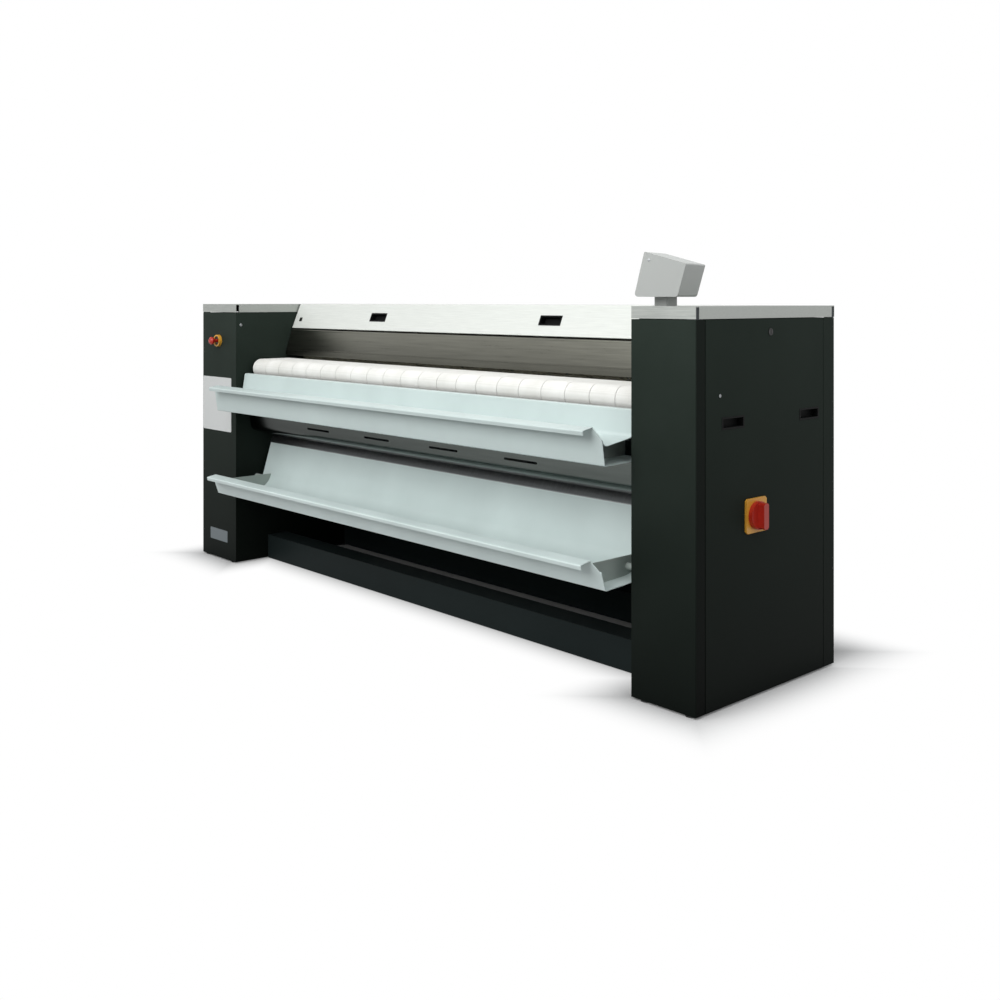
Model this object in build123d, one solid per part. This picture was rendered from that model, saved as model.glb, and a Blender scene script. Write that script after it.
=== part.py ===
from build123d import *
from math import atan2, cos, degrees, hypot, pi, radians, sin
import os

# A flatwork drying ironer: two end cabinets, a heated cylinder wrapped by ironing belts,
# a feed conveyor with its trough, a return tray, a lift-up hood and a swivel console.
# Millimetres. While it is drawn, X = 0 is the middle of the length, Y = 0 the front of the
# cabinets with +Y to the back, and Z = 0 the floor. export_all() then moves the origin to
# the middle of the machine's box on the floor.

# ---- the machine's box and its sheet metal
length = 2663.0
depth = 672.0
height = 1080.0
left_cabinet = 283.5          # the drive side
right_cabinet = 220.5         # the control side
floor_gap = 6.0               # panels end this far above the floor
panel_sheet = 1.5
frame_plate = 8.0
seam = 2.0                    # between neighbouring panels
corner_return = 40.0          # the front panel wraps this far round the outer corner
rear_return = 60.0
cover_drop = 34.0             # how far the stainless top covers reach down
cover_notch = 13.0            # open corner between the cover's flanges
flange = 15.0

# ---- the heated cylinder and the ironing belts
cylinder_y = depth - 242.0    # the working parts are placed from the cylinder's axis
cylinder_z = height - 320.0
cylinder_radius = 162.5
cylinder_wall = 8.0
cylinder_end_gap = 26.0       # from the shell's ends to the frame plates
journal_radius = 30.0
journal_bore = 20.0
heater_tube = 14.0
heater_circle = 80.0
heater_rod = 8.0
heater_count = 6
journal_reach = 75.0          # from the frame's inner face outwards
bearing_clearance = 0.05
linen_gap = 0.5               # between the belts and the cylinder
ironing_belt = 3.0
ironing_belt_count = 8
ironing_belt_space = 12.0
belt_slack = 0.3              # rollers are this much smaller than the belts' bends
belt_edge_margin = 26.0       # from the outer belts to the frame plates
belt_roller_radius = 25.0
nip_angle = 135.0             # where the belts meet and leave the cylinder, from +Y
exit_angle = 225.0
return_roller_gap = 15.5      # from the cylinder's back to the return rollers' axes
tension_roller_rise = 22.5    # the tension roller's axis above the cylinder's top
belt_return_gap = 24.5        # from the cylinder's underside to the rollers' side of the belts
return_roller_y = cylinder_y + cylinder_radius + return_roller_gap
tension_roller_z = cylinder_z + cylinder_radius + tension_roller_rise
low_roller_z = cylinder_z - cylinder_radius - belt_return_gap + belt_roller_radius

# ---- the feed conveyor
belt_top = height - 230.0     # the working height
feed_belt = 2.0
feed_belt_count = 21
feed_belt_space = 2.0
nose_y = cylinder_y - 323.0
nose_radius = 37.0
feed_drive_gap = 27.5         # from the cylinder's front to the feed belts' rear roller
feed_drive_y = cylinder_y - cylinder_radius - feed_drive_gap
feed_drive_radius = 20.0
shaft_radius = 10.0
shaft_reach = 24.0            # roller shafts end this far outside the frame's inner face
shaft_hole_gap = 4.0
bearing_block = 52.0
bearing_block_thickness = 14.0
roller_end_gap = 20.0

# ---- hood, finger guard and rear
hood_front_y = cylinder_y - 163.0
hood_front_z = height - 103.0
hood_edge_y = cylinder_y - 120.0  # where the slanted front meets the flat top
hood_rear_y = depth - 40.0
hood_lip = 18.0
hood_drop = 14.0
end_clearance = 2.5           # from the guard and covers to the frame plates
hood_clearance = 7.0
keyhole = 22.0
grip_offset = 478.0           # hood grips, from the middle
grip_width = 96.0
grip_height = 30.0
grip_wall = 2.0
grip_depth = 22.0
grip_rim = 1.0
hinge_y = depth - 31.0
hinge_z = height - 7.0
hinge_radius = 6.0
hinge_pin = 3.0
hinge_offset = 830.0
hinge_length = 60.0
fit = 0.05                    # radial clearance of pins and shafts
beam_tube = 40.0
beam_wall = 3.0
rear_cover_y = depth - 4.0
rear_cover_bottom = 40.0
rear_beam_top = height - 20.0
louvre_rows = 5
louvre_columns = 6
louvre_length = 180.0
louvre_height = 7.0
louvre_pitch = 24.0
louvre_bottom = 300.0
guard_pivot_y = cylinder_y - 157.0
guard_pivot_z = height - 115.0
guard_tube = 7.0
guard_pin = 4.0
guard_knee_y = cylinder_y - 187.0
guard_knee_z = height - 190.0
guard_bottom_z = height - 218.0
guard_edge = 4.0              # the dark strip along the guard's foot

# ---- trough, exit and tray
tray_left = 15.0              # from the left frame plate to the trays' end
tray_right = 15.0
tray_sheet = 2.0
trough_lip = (cylinder_y - 576.0, belt_top - 108.0)
trough_wall_top = (cylinder_y - 538.0, belt_top - 101.0)
trough_foot = (cylinder_y - 522.0, belt_top - 205.0)
trough_rise = 4.0
liner_sheet = 1.5
liner_start_z = belt_top - 114.0
liner_valley_z = belt_top - 153.0
liner_bend = (cylinder_y - 407.0, belt_top - 135.0)
liner_edge = (cylinder_y - 395.0, belt_top - 60.0)
liner_flange = 17.0
front_beam_y = cylinder_y - 335.0
front_beam_depth = 55.0
front_beam_height = 40.0
catch_lip = (cylinder_y - 584.0, belt_top - 469.0)
catch_wall_top = (cylinder_y - 546.0, belt_top - 462.0)
catch_foot = (cylinder_y - 518.0, belt_top - 543.0)
catch_bend = (cylinder_y - 322.0, belt_top - 533.0)
catch_edge = (cylinder_y - 270.0, belt_top - 356.0)
catch_bend_radius = 70.0
lip_hem = 11.0
lip_setback = 30.0            # the lips stop this far before the trays' ends
lip_corner = 32.0             # and the walls' corners are cut down by this much
pan_bend = 5.0
trough_plate_inset = 90.0
catch_plate_inset = 58.0
end_plate = 3.0
catch_end_top = belt_top - 478.0
spacer_radius = 10.0
apron_top_y = cylinder_y - 372.0
apron_knee = (cylinder_y - 358.0, belt_top - 294.0)
apron_end = (cylinder_y - 280.0, belt_top - 320.0)
apron_radius = 30.0
apron_sheet = 1.5
apron_slot_offsets = (189.0, 567.0)
apron_slot_length = 150.0
apron_slot_height = 8.0
apron_slot_z = belt_top - 256.0
chute_top = (cylinder_y - 174.0, belt_top - 216.0)
chute_gap = 1.0
stripper_tip_gap = 1.5
stripper_angle = 212.0
stripper_count = 11
finger_length = 32.0
finger_width = 30.0
stripper_bar = 8.0

# ---- base
base_beam_y = 153.0
base_beam_height = 97.0
base_beam_depth = 92.0
rear_beam_height = 100.0
rear_beam_depth = 60.0
base_beam_wall = 4.0
base_clear = 4.0
rear_base_y = depth - 128.0
post_leg = 30.0
post_wall = 3.0
rail_bar = 5.0
rail_lift = 4.0
foot_radius = 15.0
foot_stud = 6.0

# ---- drive side
sprocket_plane = 45.0         # outwards from the frame's inner face
chain_pitch = 15.875
chain_width = 9.0
chain_height = 5.0
chain_gap = 0.4
cylinder_teeth = 48
motor_teeth = 16
motor_y = cylinder_y - 194.0
motor_z = 430.0
gearbox = 112.0
motor_radius = 54.0
motor_length = 190.0
fan_y = cylinder_y + 40.0
fan_z = 245.0
fan_width = 124.0
impeller_radius = 76.0
impeller_width = 96.0
blade_count = 20
scroll_start = 92.0
scroll_step = 12.0
scroll_sheet = 2.0
duct_height = 108.0
spigot_radius = 50.0
spigot_wall = 2.0
spigot_flange = 3.0           # the ring that seats on the rear panel
spigot_reach = 60.0           # how far the exhaust spigot stands out of the back
vent_rows = 7
vent_bottom = height - 320.0
vent_pitch = 22.0
vent_length = 130.0
vent_height = 6.0

# ---- control side
switch_y = cylinder_y - 166.0
switch_z = height - 577.0
switch_plate = 95.0
switch_plate_thickness = 6.0
switch_handle_radius = 39.0
switch_handle_reach = 38.0    # from the side panel to the handle's face
switch_shaft = 7.0            # square
panel_grip_ys = (163.0, depth - 137.5)
panel_grip_z = height - 315.0
panel_grip_width = 95.0
panel_grip_height = 28.0
lock_y = depth - 333.5
lock_z = height - 73.0
lock_radius = 8.0
lock_head = 2.0               # how far the lock's head stands out of the panel
lock_barrel = post_leg + panel_sheet + 6.0  # the cam turns up behind the rail
lock_cam = 28.0
estop_inset = 142.0           # from the left frame's inner face
estop_z = height - 155.0
estop_collar = 25.0
estop_rim = 5.5
estop_shroud = 13.0           # how far the yellow collar stands out
estop_button_radius = 16.0
estop_reach = 46.0
estop_travel = 5.0
estop_bore = 7.0

plate_sheet = 2.0
plate_stand = frame_plate + bearing_block_thickness + 6.0
plate_y = (cylinder_y - 280.0, cylinder_y + 40.0)
plate_z = (height - 790.0, height - 440.0)
stand_off = 8.0
device_back = plate_stand + 9.0
device_rail = 35.0
device_rows = (plate_z[0] + 60.0, plate_z[1] - 50.0)
contactor = 48.0
contactor_pitch = 65.0
relay = 34.0
relay_pitch = 40.0
switch_front = plate_stand + 62.0
switch_body = 66.0
switch_coupling = 11.0
gland_z = 90.0
gland_bore = 8.0
gland_radius = 15.0
gland_reach = 26.0

# ---- console
console_inset = 148.5         # from the right end of the machine
console_y = 60.0
console_turn = 16.3
post_size = 46.0
post_height = 25.0
console_width = 142.0
console_base = 125.0
console_wall = 3.0
console_front_top = (30.0, 122.0)
console_back_top = (150.0, 88.0)
console_corner = 9.0
swivel_radius = 12.0
key_radius = 7.0
key_row = 32.0
key_spread = 30.0
screen_wide = 84.0
screen_tall = 44.0
screen_depth = 1.5
screen_along = 78.0
key_travel = 1.5

# ---- places worked out from the sizes above
left_out = -length / 2
left_in = left_out + left_cabinet
right_out = length / 2
right_in = right_out - right_cabinet
middle_x = (left_in + right_in) / 2
frame_top = height - cover_drop - seam
cover_under = height - panel_sheet
tray_x = (left_in + tray_left, right_in - tray_right)
gap_x = (left_in + end_clearance, right_in - end_clearance)
hood_x = (left_in + hood_clearance, right_in - hood_clearance)
cylinder_x = (left_in + cylinder_end_gap, right_in - cylinder_end_gap)
roller_x = (left_in + roller_end_gap, right_in - roller_end_gap)
centre_distance = cylinder_radius + linen_gap + ironing_belt + belt_roller_radius
nose_z = belt_top - feed_belt - nose_radius
feed_drive_z = belt_top - feed_belt - feed_drive_radius
trough_back = (front_beam_y, trough_foot[1] + trough_rise)
front_beam_z = trough_back[1] + tray_sheet
estop_x = left_in - estop_inset
console_x = right_out - console_inset
cabinets = {"left": (left_in, left_out, -1), "right": (right_in, right_out, 1)}


def around_cylinder(angle, distance):
    turn = radians(angle)
    return (cylinder_y + distance * cos(turn), cylinder_z + distance * sin(turn))


nip_roller = around_cylinder(nip_angle, centre_distance)
exit_roller = around_cylinder(exit_angle, centre_distance)
tension_roller = (return_roller_y, tension_roller_z)
low_roller = (return_roller_y, low_roller_z)
nose = (nose_y, nose_z)
feed_drive = (feed_drive_y, feed_drive_z)
shaft_places = [nose, feed_drive, nip_roller, exit_roller, tension_roller, low_roller]


# ---- small helpers
def block(x, y, z):
    size = [abs(b - a) for a, b in (x, y, z)]
    corner = [min(pair) for pair in (x, y, z)]
    return Pos(*corner) * Box(*size, align=(Align.MIN,) * 3)


def along_x(face, x):
    """A face drawn in (Y, Z), extruded between two X values."""
    low, high = sorted(x)
    return Pos(low, 0, 0) * extrude(Plane.YZ * face, high - low)


def rod(x, place, radius):
    return along_x(Pos(*place) * Circle(radius), x)


def ring(x, place, outer, inner):
    return along_x(Pos(*place) * (Circle(outer) - Circle(inner)), x)


def rod_y(y, x, z, radius):
    low, high = sorted(y)
    return Pos(x, high, z) * extrude(Plane.XZ * Circle(radius), high - low)


def tube_block(x, y, z, wall):
    """A rectangular tube along X."""
    inner = block((x[0] - 1, x[1] + 1), (y[0] + wall, y[1] - wall), (z[0] + wall, z[1] - wall))
    return block(x, y, z) - inner


def folded(points, radii, thickness, material=Side.LEFT):
    """The section of a folded sheet: one face follows the points, the other lies to one side."""
    path = FilletPolyline(*points, radius=radii)
    return make_face(offset(path, amount=thickness, side=material, closed=True).edges())


def polygon(points):
    return make_face(Polyline(*points, close=True).edges())


def inset(points, distance):
    """The corners of a path moved sideways to its left by a distance."""
    moved = []
    for (y0, z0), (y1, z1) in zip(points, points[1:]):
        run = hypot(y1 - y0, z1 - z0)
        shift = (-(z1 - z0) / run * distance, (y1 - y0) / run * distance)
        moved.append(((y0 + shift[0], z0 + shift[1]), (y1 + shift[0], z1 + shift[1])))
    corners = [moved[0][0]]
    for ((y0, z0), (y1, z1)), ((y2, z2), (y3, z3)) in zip(moved, moved[1:]):
        a = (y1 - y0, z1 - z0)
        b = (y3 - y2, z3 - z2)
        cross = a[0] * b[1] - a[1] * b[0]
        step = ((y2 - y0) * b[1] - (z2 - z0) * b[0]) / cross
        corners.append((y0 + a[0] * step, z0 + a[1] * step))
    corners.append(moved[-1][1])
    return corners


def point_at_z(a, b, z):
    share = (z - a[1]) / (b[1] - a[1])
    return (a[0] + (b[0] - a[0]) * share, z)


def group(solids):
    """Separate solids of one node."""
    parts = []
    for item in solids:
        parts.extend(item.solids())
    return Compound(parts)


def out(cabinet, near, far):
    """An X span measured outwards from a cabinet's inner face."""
    inner, _, sign = cabinets[cabinet]
    return tuple(sorted((inner + sign * near, inner + sign * far)))


# ---- cabinets
def side_frame(cabinet):
    """The plate between cabinet and machine, with its flanges, cover rail and shaft holes."""
    y = (panel_sheet, depth - panel_sheet)
    plate = block(out(cabinet, 0, frame_plate), y, (floor_gap, frame_top))
    bottom = floor_gap + rail_lift
    plate += block(out(cabinet, 0, post_leg), (y[0], y[0] + rail_bar), (bottom, frame_top))
    plate += block(out(cabinet, 0, post_leg), (y[1] - rail_bar, y[1]), (bottom, frame_top))
    plate += block(out(cabinet, 0, post_leg + rail_bar), y, (frame_top - rail_bar, frame_top))
    rail_y = (2 * flange, depth - 2 * flange)
    rail_x = out(cabinet, post_wall, post_wall + post_leg)
    rail = block(rail_x, rail_y, (frame_top, cover_under))
    hollow_x = out(cabinet, 2 * post_wall, post_leg)
    rail -= block(hollow_x, (rail_y[0] - 1, rail_y[1] + 1),
                  (frame_top, cover_under - post_wall))
    plate += rail
    through = out(cabinet, -1, frame_plate + 1)
    for place in shaft_places:
        plate -= rod(through, place, shaft_radius + shaft_hole_gap)
    plate -= rod(through, (cylinder_y, cylinder_z), journal_radius + shaft_hole_gap)
    plate -= rod(through, (guard_pivot_y, guard_pivot_z), guard_pin + fit)
    if cabinet == "left":
        plate -= rod(through, (fan_y, fan_z), impeller_radius - scroll_step)
    return plate


def subframe(cabinet):
    """The outer posts and the rails that tie them to the side frame and carry the feet."""
    inner, outer, sign = cabinets[cabinet]
    skin = outer - sign * panel_sheet
    bottom = floor_gap + rail_lift
    top = cover_under
    front = (2 * panel_sheet, 2 * panel_sheet + post_leg)
    back = (depth - 2 * panel_sheet - post_leg, depth - 2 * panel_sheet)
    solid = None
    for y, web in ((front, (front[0], front[0] + post_wall)), (back, (back[1] - post_wall, back[1]))):
        post = block((skin, skin - sign * post_wall), y, (bottom, top))
        post += block((skin, skin - sign * post_leg), web, (bottom, top))
        post += block((inner + sign * post_leg, skin), y, (bottom, bottom + rail_bar))
        post += block((inner + sign * (post_leg + post_wall), skin), y, (top - rail_bar, top))
        solid = post if solid is None else solid + post
    rail_y = (corner_return + seam + 2 * panel_sheet, depth - rear_return - seam - 2 * panel_sheet)
    high = lock_z + lock_radius + seam
    for z in ((bottom, bottom + rail_bar), (high, high + rail_bar)):
        solid += block((skin, skin - sign * post_leg), rail_y, z)
        for y in ((front[0], rail_y[0] + 1), (rail_y[1] - 1, back[1])):
            inner_x = (skin - sign * (flange + 2 * panel_sheet), skin - sign * post_leg)
            solid += block(inner_x, y, z)
    for foot in foot_xs(cabinet):
        for y in foot_ys():
            solid -= Pos(foot, y, bottom) * Cylinder(foot_stud + fit, 4 * rail_bar)
    return solid


def foot_xs(cabinet):
    inner, outer, sign = cabinets[cabinet]
    return (inner + sign * (frame_plate + foot_radius + flange), outer - sign * (foot_radius + flange))


def foot_ys():
    half = 2 * panel_sheet + post_leg / 2
    return (half, depth - half)


def levelling_feet():
    feet = []
    stud_top = floor_gap + rail_lift + rail_bar + flange
    profile = [(0, 0), (foot_radius, 0), (foot_radius, 4), (foot_stud + 4, floor_gap + 1),
               (foot_stud, floor_gap + 1), (foot_stud, stud_top), (0, stud_top)]
    foot = revolve(Plane.XZ * polygon(profile), Axis.Z)
    for cabinet in cabinets:
        for x in foot_xs(cabinet):
            for y in foot_ys():
                feet.append(Pos(x, y, 0) * foot)
    return group(feet)


def front_panel(cabinet):
    """Wraps round the outer front corner, so that only a narrow return shows at the side."""
    inner, outer, sign = cabinets[cabinet]
    points = [(inner, 0), (outer, 0), (outer, corner_return), (outer - sign * flange, corner_return)]
    side = Side.LEFT if sign > 0 else Side.RIGHT
    section = folded(points, [3.0, 2.0], panel_sheet, side)
    panel = Pos(0, 0, floor_gap) * extrude(section, frame_top - floor_gap)
    if cabinet == "left":
        panel -= rod_y((-1, 2 * panel_sheet), estop_x, estop_z, 11.0 + fit)
    return panel


def rear_panel(cabinet):
    inner, outer, sign = cabinets[cabinet]
    points = [(inner, depth), (outer, depth), (outer, depth - rear_return),
              (outer - sign * flange, depth - rear_return)]
    side = Side.RIGHT if sign > 0 else Side.LEFT
    section = folded(points, [3.0, 2.0], panel_sheet, side)
    panel = Pos(0, 0, floor_gap) * extrude(section, frame_top - floor_gap)
    centre = (inner + outer) / 2
    wall = (depth - 2 * panel_sheet, depth + 1)
    for row in range(vent_rows):
        z = vent_bottom + row * vent_pitch
        panel -= block((centre - vent_length / 2, centre + vent_length / 2), wall, (z, z + vent_height))
    if cabinet == "left":
        panel -= rod_y(wall, fan_x(), fan_duct_z(), spigot_radius + fit)
    else:
        panel -= rod_y(wall, centre, gland_z, gland_bore + seam)
    return panel


def side_panel(cabinet):
    """The lift-off panel, a shallow pan with hand recesses and a lock hole."""
    _, outer, sign = cabinets[cabinet]
    y = (corner_return + seam, depth - rear_return - seam)
    z = (floor_gap, frame_top)
    pan = block((outer, outer - sign * flange), y, z)
    pan -= block((outer - sign * panel_sheet, outer - sign * 2 * flange),
                 (y[0] + panel_sheet, y[1] - panel_sheet), (z[0] - 1, z[1] - panel_sheet))
    wall = (outer + sign, outer - sign * 2 * panel_sheet)
    for centre in panel_grip_ys:
        half = (panel_grip_width / 2, panel_grip_height / 2)
        pan -= block(wall, (centre - half[0], centre + half[0]),
                     (panel_grip_z - half[1], panel_grip_z + half[1]))
    pan -= rod(wall, (lock_y, lock_z), lock_radius + fit)
    if cabinet == "right":
        pan -= rod(wall, (switch_y, switch_z), switch_shaft)
    return pan


def hand_recess(width, tall, depth_in, wall):
    """A black moulded cup with a thin rim, opening towards +X, its rim's back at X = 0."""
    cup = Pos(-depth_in / 2, 0, 0) * Box(depth_in, width, tall)
    cup += Pos(grip_rim / 2, 0, 0) * Box(grip_rim, width + 6 * grip_rim, tall + 6 * grip_rim)
    inside = depth_in - wall + grip_rim + 1
    hollow = Box(inside, width - 2 * wall, tall - 2 * wall)
    hollow = Pos((grip_rim + 1 - depth_in + wall) / 2, 0, 0) * hollow
    return cup - hollow


def panel_grips(cabinet):
    _, outer, sign = cabinets[cabinet]
    cups = []
    for centre in panel_grip_ys:
        cup = hand_recess(panel_grip_width - 2 * fit, panel_grip_height - 2 * fit, grip_depth, grip_wall)
        if sign < 0:
            cup = Rot(0, 0, 180) * cup
        cups.append(Pos(outer, centre, panel_grip_z) * cup)
    return group(cups)


def quarter_turn_lock(cabinet):
    """Slotted head, barrel and a cam that turns behind the top rail."""
    _, outer, sign = cabinets[cabinet]
    place = (lock_y, lock_z)
    lock = rod((outer, outer + sign * lock_head), place, lock_radius + lock_head)
    lock -= block((outer + sign * lock_head / 2, outer + sign * 2 * lock_head),
                  (lock_y - 1.5, lock_y + 1.5),
                  (lock_z - lock_radius, lock_z + lock_radius))
    lock += rod((outer, outer - sign * lock_barrel), place, lock_radius)
    cam_x = (outer - sign * (lock_barrel - 3), outer - sign * lock_barrel)
    lock += block(cam_x, (lock_y - lock_radius, lock_y + lock_cam), (lock_z - 6, lock_z + 6))
    return lock


def top_cover(cabinet):
    """Stainless lid with four flanges and open corners."""
    inner, outer, sign = cabinets[cabinet]
    lid = block((inner, outer), (0, depth), (height - cover_drop, height))
    lid -= block((inner + sign * panel_sheet, outer - sign * panel_sheet),
                 (panel_sheet, depth - panel_sheet),
                 (height - cover_drop - 1, cover_under))
    notch_z = (height - cover_drop - 1, height - 2 * panel_sheet)
    for side, inward in ((outer, -sign), (inner, sign)):
        notch_x = (side - inward, side + inward * 2 * panel_sheet)
        lid -= block(notch_x, (panel_sheet, cover_notch + panel_sheet), notch_z)
        lid -= block(notch_x, (depth - cover_notch - panel_sheet, depth - panel_sheet), notch_z)
    if cabinet == "right":
        lid -= Pos(console_x, console_y, height) * Cylinder(swivel_radius, 4 * panel_sheet)
    return lid


# ---- base, beams and rear cover
def base_beam():
    """The deep plinth beam between the cabinets, a channel open to the back."""
    z = (base_clear, base_clear + base_beam_height)
    y = (base_beam_y, base_beam_y + base_beam_depth)
    beam = block((left_in, right_in), y, z)
    return beam - block((left_in - 1, right_in + 1), (y[0] + base_beam_wall, y[1] + 1),
                        (z[0] + base_beam_wall, z[1] - base_beam_wall))


def rear_base_beam():
    y = (rear_base_y, rear_base_y + rear_beam_depth)
    return tube_block((left_in, right_in), y, (base_clear, base_clear + rear_beam_height), base_beam_wall)


def rear_top_beam():
    back = rear_cover_y - panel_sheet
    z = (rear_beam_top - beam_tube, rear_beam_top)
    return tube_block((left_in, right_in), (back - beam_tube, back), z, beam_wall)


def front_beam():
    return tube_block((left_in, right_in), (front_beam_y, front_beam_y + front_beam_depth),
                      (front_beam_z, front_beam_z + front_beam_height), beam_wall)


def rear_cover():
    """One folded sheet behind the cylinder, with rows of air slots."""
    points = [(rear_cover_y, rear_cover_bottom), (rear_cover_y, height),
              (hinge_y + hinge_radius + seam, height), (hinge_y + hinge_radius + seam, height - hood_drop)]
    cover = along_x(folded(points, [3.0, 2.0], panel_sheet, Side.LEFT), gap_x)
    step = (gap_x[1] - gap_x[0]) / louvre_columns
    wall = (rear_cover_y - 2 * panel_sheet, rear_cover_y + 1)
    for column in range(louvre_columns):
        centre = gap_x[0] + (column + 0.5) * step
        for row in range(louvre_rows):
            z = louvre_bottom + row * louvre_pitch
            cover -= block((centre - louvre_length / 2, centre + louvre_length / 2), wall,
                           (z, z + louvre_height))
    return cover


# ---- hood and finger guard
def grip_centres():
    return (middle_x - grip_offset, middle_x + grip_offset)


def hood_slope():
    return atan2(height - hood_front_z, hood_edge_y - hood_front_y)


def hood():
    points = [(hood_front_y + hood_lip, hood_front_z), (hood_front_y, hood_front_z), (hood_edge_y, height),
              (hood_rear_y, height), (hood_rear_y, height - hood_drop)]
    lid = along_x(folded(points, [2.0, 4.0, 2.0], panel_sheet, Side.RIGHT), hood_x)
    slope = hood_slope()
    side = inset([points[4], points[3], points[2], points[1], points[0]], panel_sheet)
    cheek = polygon([side[0], side[1], side[2], side[3], side[4]])
    for x in (hood_x[0], hood_x[1] - panel_sheet):
        lid += along_x(cheek, (x, x + panel_sheet))
    middle = ((hood_front_y + hood_edge_y) / 2, (hood_front_z + height) / 2)
    for x in grip_centres():
        window = Box(grip_width, 4 * panel_sheet, grip_height)
        lid -= Pos(x, *middle) * Rot(degrees(slope) - 90, 0, 0) * window
    window = Box(keyhole, 4 * panel_sheet, 0.8 * keyhole)
    key_place = Pos(hood_x[0] + 2 * keyhole, *middle) * Rot(degrees(slope) - 90, 0, 0)
    lid -= key_place * Pos(0, 0, -keyhole * 0.7) * window
    for x in hinge_centres():
        lid += moving_knuckle(x)
    return lid


def hood_grips():
    cups = []
    middle = ((hood_front_y + hood_edge_y) / 2, (hood_front_z + height) / 2)
    for x in grip_centres():
        cup = hand_recess(grip_width - 2 * fit, grip_height - 2 * fit, grip_depth, grip_wall)
        cup = Rot(degrees(hood_slope()) - 90, 0, 0) * Rot(0, 0, -90) * cup
        cups.append(Pos(x, *middle) * cup)
    return group(cups)


def hinge_centres():
    return (middle_x - hinge_offset, middle_x, middle_x + hinge_offset)


def moving_knuckle(x):
    span = (x - hinge_length / 4, x + hinge_length / 4)
    leaf = (hood_rear_y - 2 * flange, hinge_y)
    arm = block(span, (leaf[1] - 2 * hinge_radius, leaf[1]), (hinge_z, hinge_z + hinge_pin))
    arm += block(span, (leaf[0], leaf[1] - 2 * hinge_radius + hinge_pin), (hinge_z, cover_under))
    arm += rod(span, (hinge_y, hinge_z), hinge_radius)
    return arm - rod((span[0] - 1, span[1] + 1), (hinge_y, hinge_z), hinge_pin + fit)


def hood_hinges():
    """Fixed knuckles on the rear beam, each pair with its pin."""
    pieces = []
    for x in hinge_centres():
        quarter = hinge_length / 4
        hinge = rod((x - 2 * quarter, x + 2 * quarter), (hinge_y, hinge_z), hinge_pin)
        for span in ((x - 2 * quarter, x - quarter - 0.2), (x + quarter + 0.2, x + 2 * quarter)):
            hinge += rod(span, (hinge_y, hinge_z), hinge_radius)
            hinge += block(span, (hinge_y - hinge_pin, hinge_y + hinge_pin), (rear_beam_top, hinge_z))
        pieces.append(hinge)
    return group(pieces)


def finger_guard():
    """Polished flap in front of the nip, hung on a tube with a pin at each end."""
    pivot = (guard_pivot_y, guard_pivot_z)
    knee = (guard_knee_y, guard_knee_z)
    foot = (guard_knee_y + 1, guard_bottom_z)
    start = (guard_pivot_y - guard_tube + 1, guard_pivot_z)
    flap = along_x(folded([start, knee, foot], [6.0], panel_sheet, Side.LEFT), gap_x)
    flap += rod(gap_x, pivot, guard_tube)
    reach = frame_plate / 2
    return flap + rod((left_in - reach, right_in + reach), pivot, guard_pin)


def guard_strip():
    """The dark edge strip on the guard's foot."""
    front = guard_knee_y - guard_edge
    return block(gap_x, (front, guard_knee_y), (guard_bottom_z, guard_knee_z - 6))


# ---- feed conveyor
def feed_belts():
    """Endless bands side by side round the nose roller and the drive roller."""
    outer = belt_outline(nose_radius + feed_belt, feed_drive_radius + feed_belt)
    inner = belt_outline(nose_radius, feed_drive_radius)
    section = outer - inner
    width = (roller_x[1] - roller_x[0]) / feed_belt_count
    bands = []
    for number in range(feed_belt_count):
        left = roller_x[0] + number * width
        bands.append(along_x(section, (left + feed_belt_space / 2, left + width - feed_belt_space / 2)))
    return group(bands)


def belt_outline(first_radius, second_radius):
    """The outline of a taut band round the nose roller and the smaller drive roller."""
    run = (feed_drive_y - nose_y, feed_drive_z - nose_z)
    span = hypot(*run)
    lean = atan2(run[1], run[0])
    drop = first_radius - second_radius
    spread = pi / 2 - atan2(drop, (span ** 2 - drop ** 2) ** 0.5)
    top = lean + spread
    low = lean - spread

    def at(centre, radius, turn):
        return (centre[0] + radius * cos(turn), centre[1] + radius * sin(turn))

    edges = [
        ThreePointArc(at(nose, first_radius, top), at(nose, first_radius, lean + pi),
                      at(nose, first_radius, low)),
        Line(at(nose, first_radius, low), at(feed_drive, second_radius, low)),
        ThreePointArc(at(feed_drive, second_radius, low), at(feed_drive, second_radius, lean),
                      at(feed_drive, second_radius, top)),
        Line(at(feed_drive, second_radius, top), at(nose, first_radius, top)),
    ]
    return make_face(edges)


def roller(place, radius):
    """A tube roller with turned-down shaft ends that run in the frames' bearings."""
    reach = shaft_reach
    body = rod(roller_x, place, radius)
    return body + rod((left_in - reach, right_in + reach), place, shaft_radius)


def feed_bed():
    """The slide plate under the belts' top run, hung between the frames."""
    y = (nose_y + nose_radius + feed_belt + seam, feed_drive_y - feed_drive_radius - feed_belt - seam)
    top = belt_top - feed_belt - linen_gap
    points = [(y[0] + 6, top - 3 * flange / 2), (y[0], top), (y[1], top), (y[1] - 6, top - flange)]
    return along_x(folded(points, [4.0, 4.0], 2.0, Side.RIGHT), (left_in, right_in))


def roller_bearings(cabinet):
    blocks = []
    x = out(cabinet, frame_plate, frame_plate + bearing_block_thickness)
    for place in shaft_places:
        half = bearing_block / 2
        housing = block(x, (place[0] - half, place[0] + half), (place[1] - half, place[1] + half))
        housing -= rod((x[0] - 1, x[1] + 1), place, shaft_radius + fit)
        blocks.append(housing)
    return group(blocks)


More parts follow.
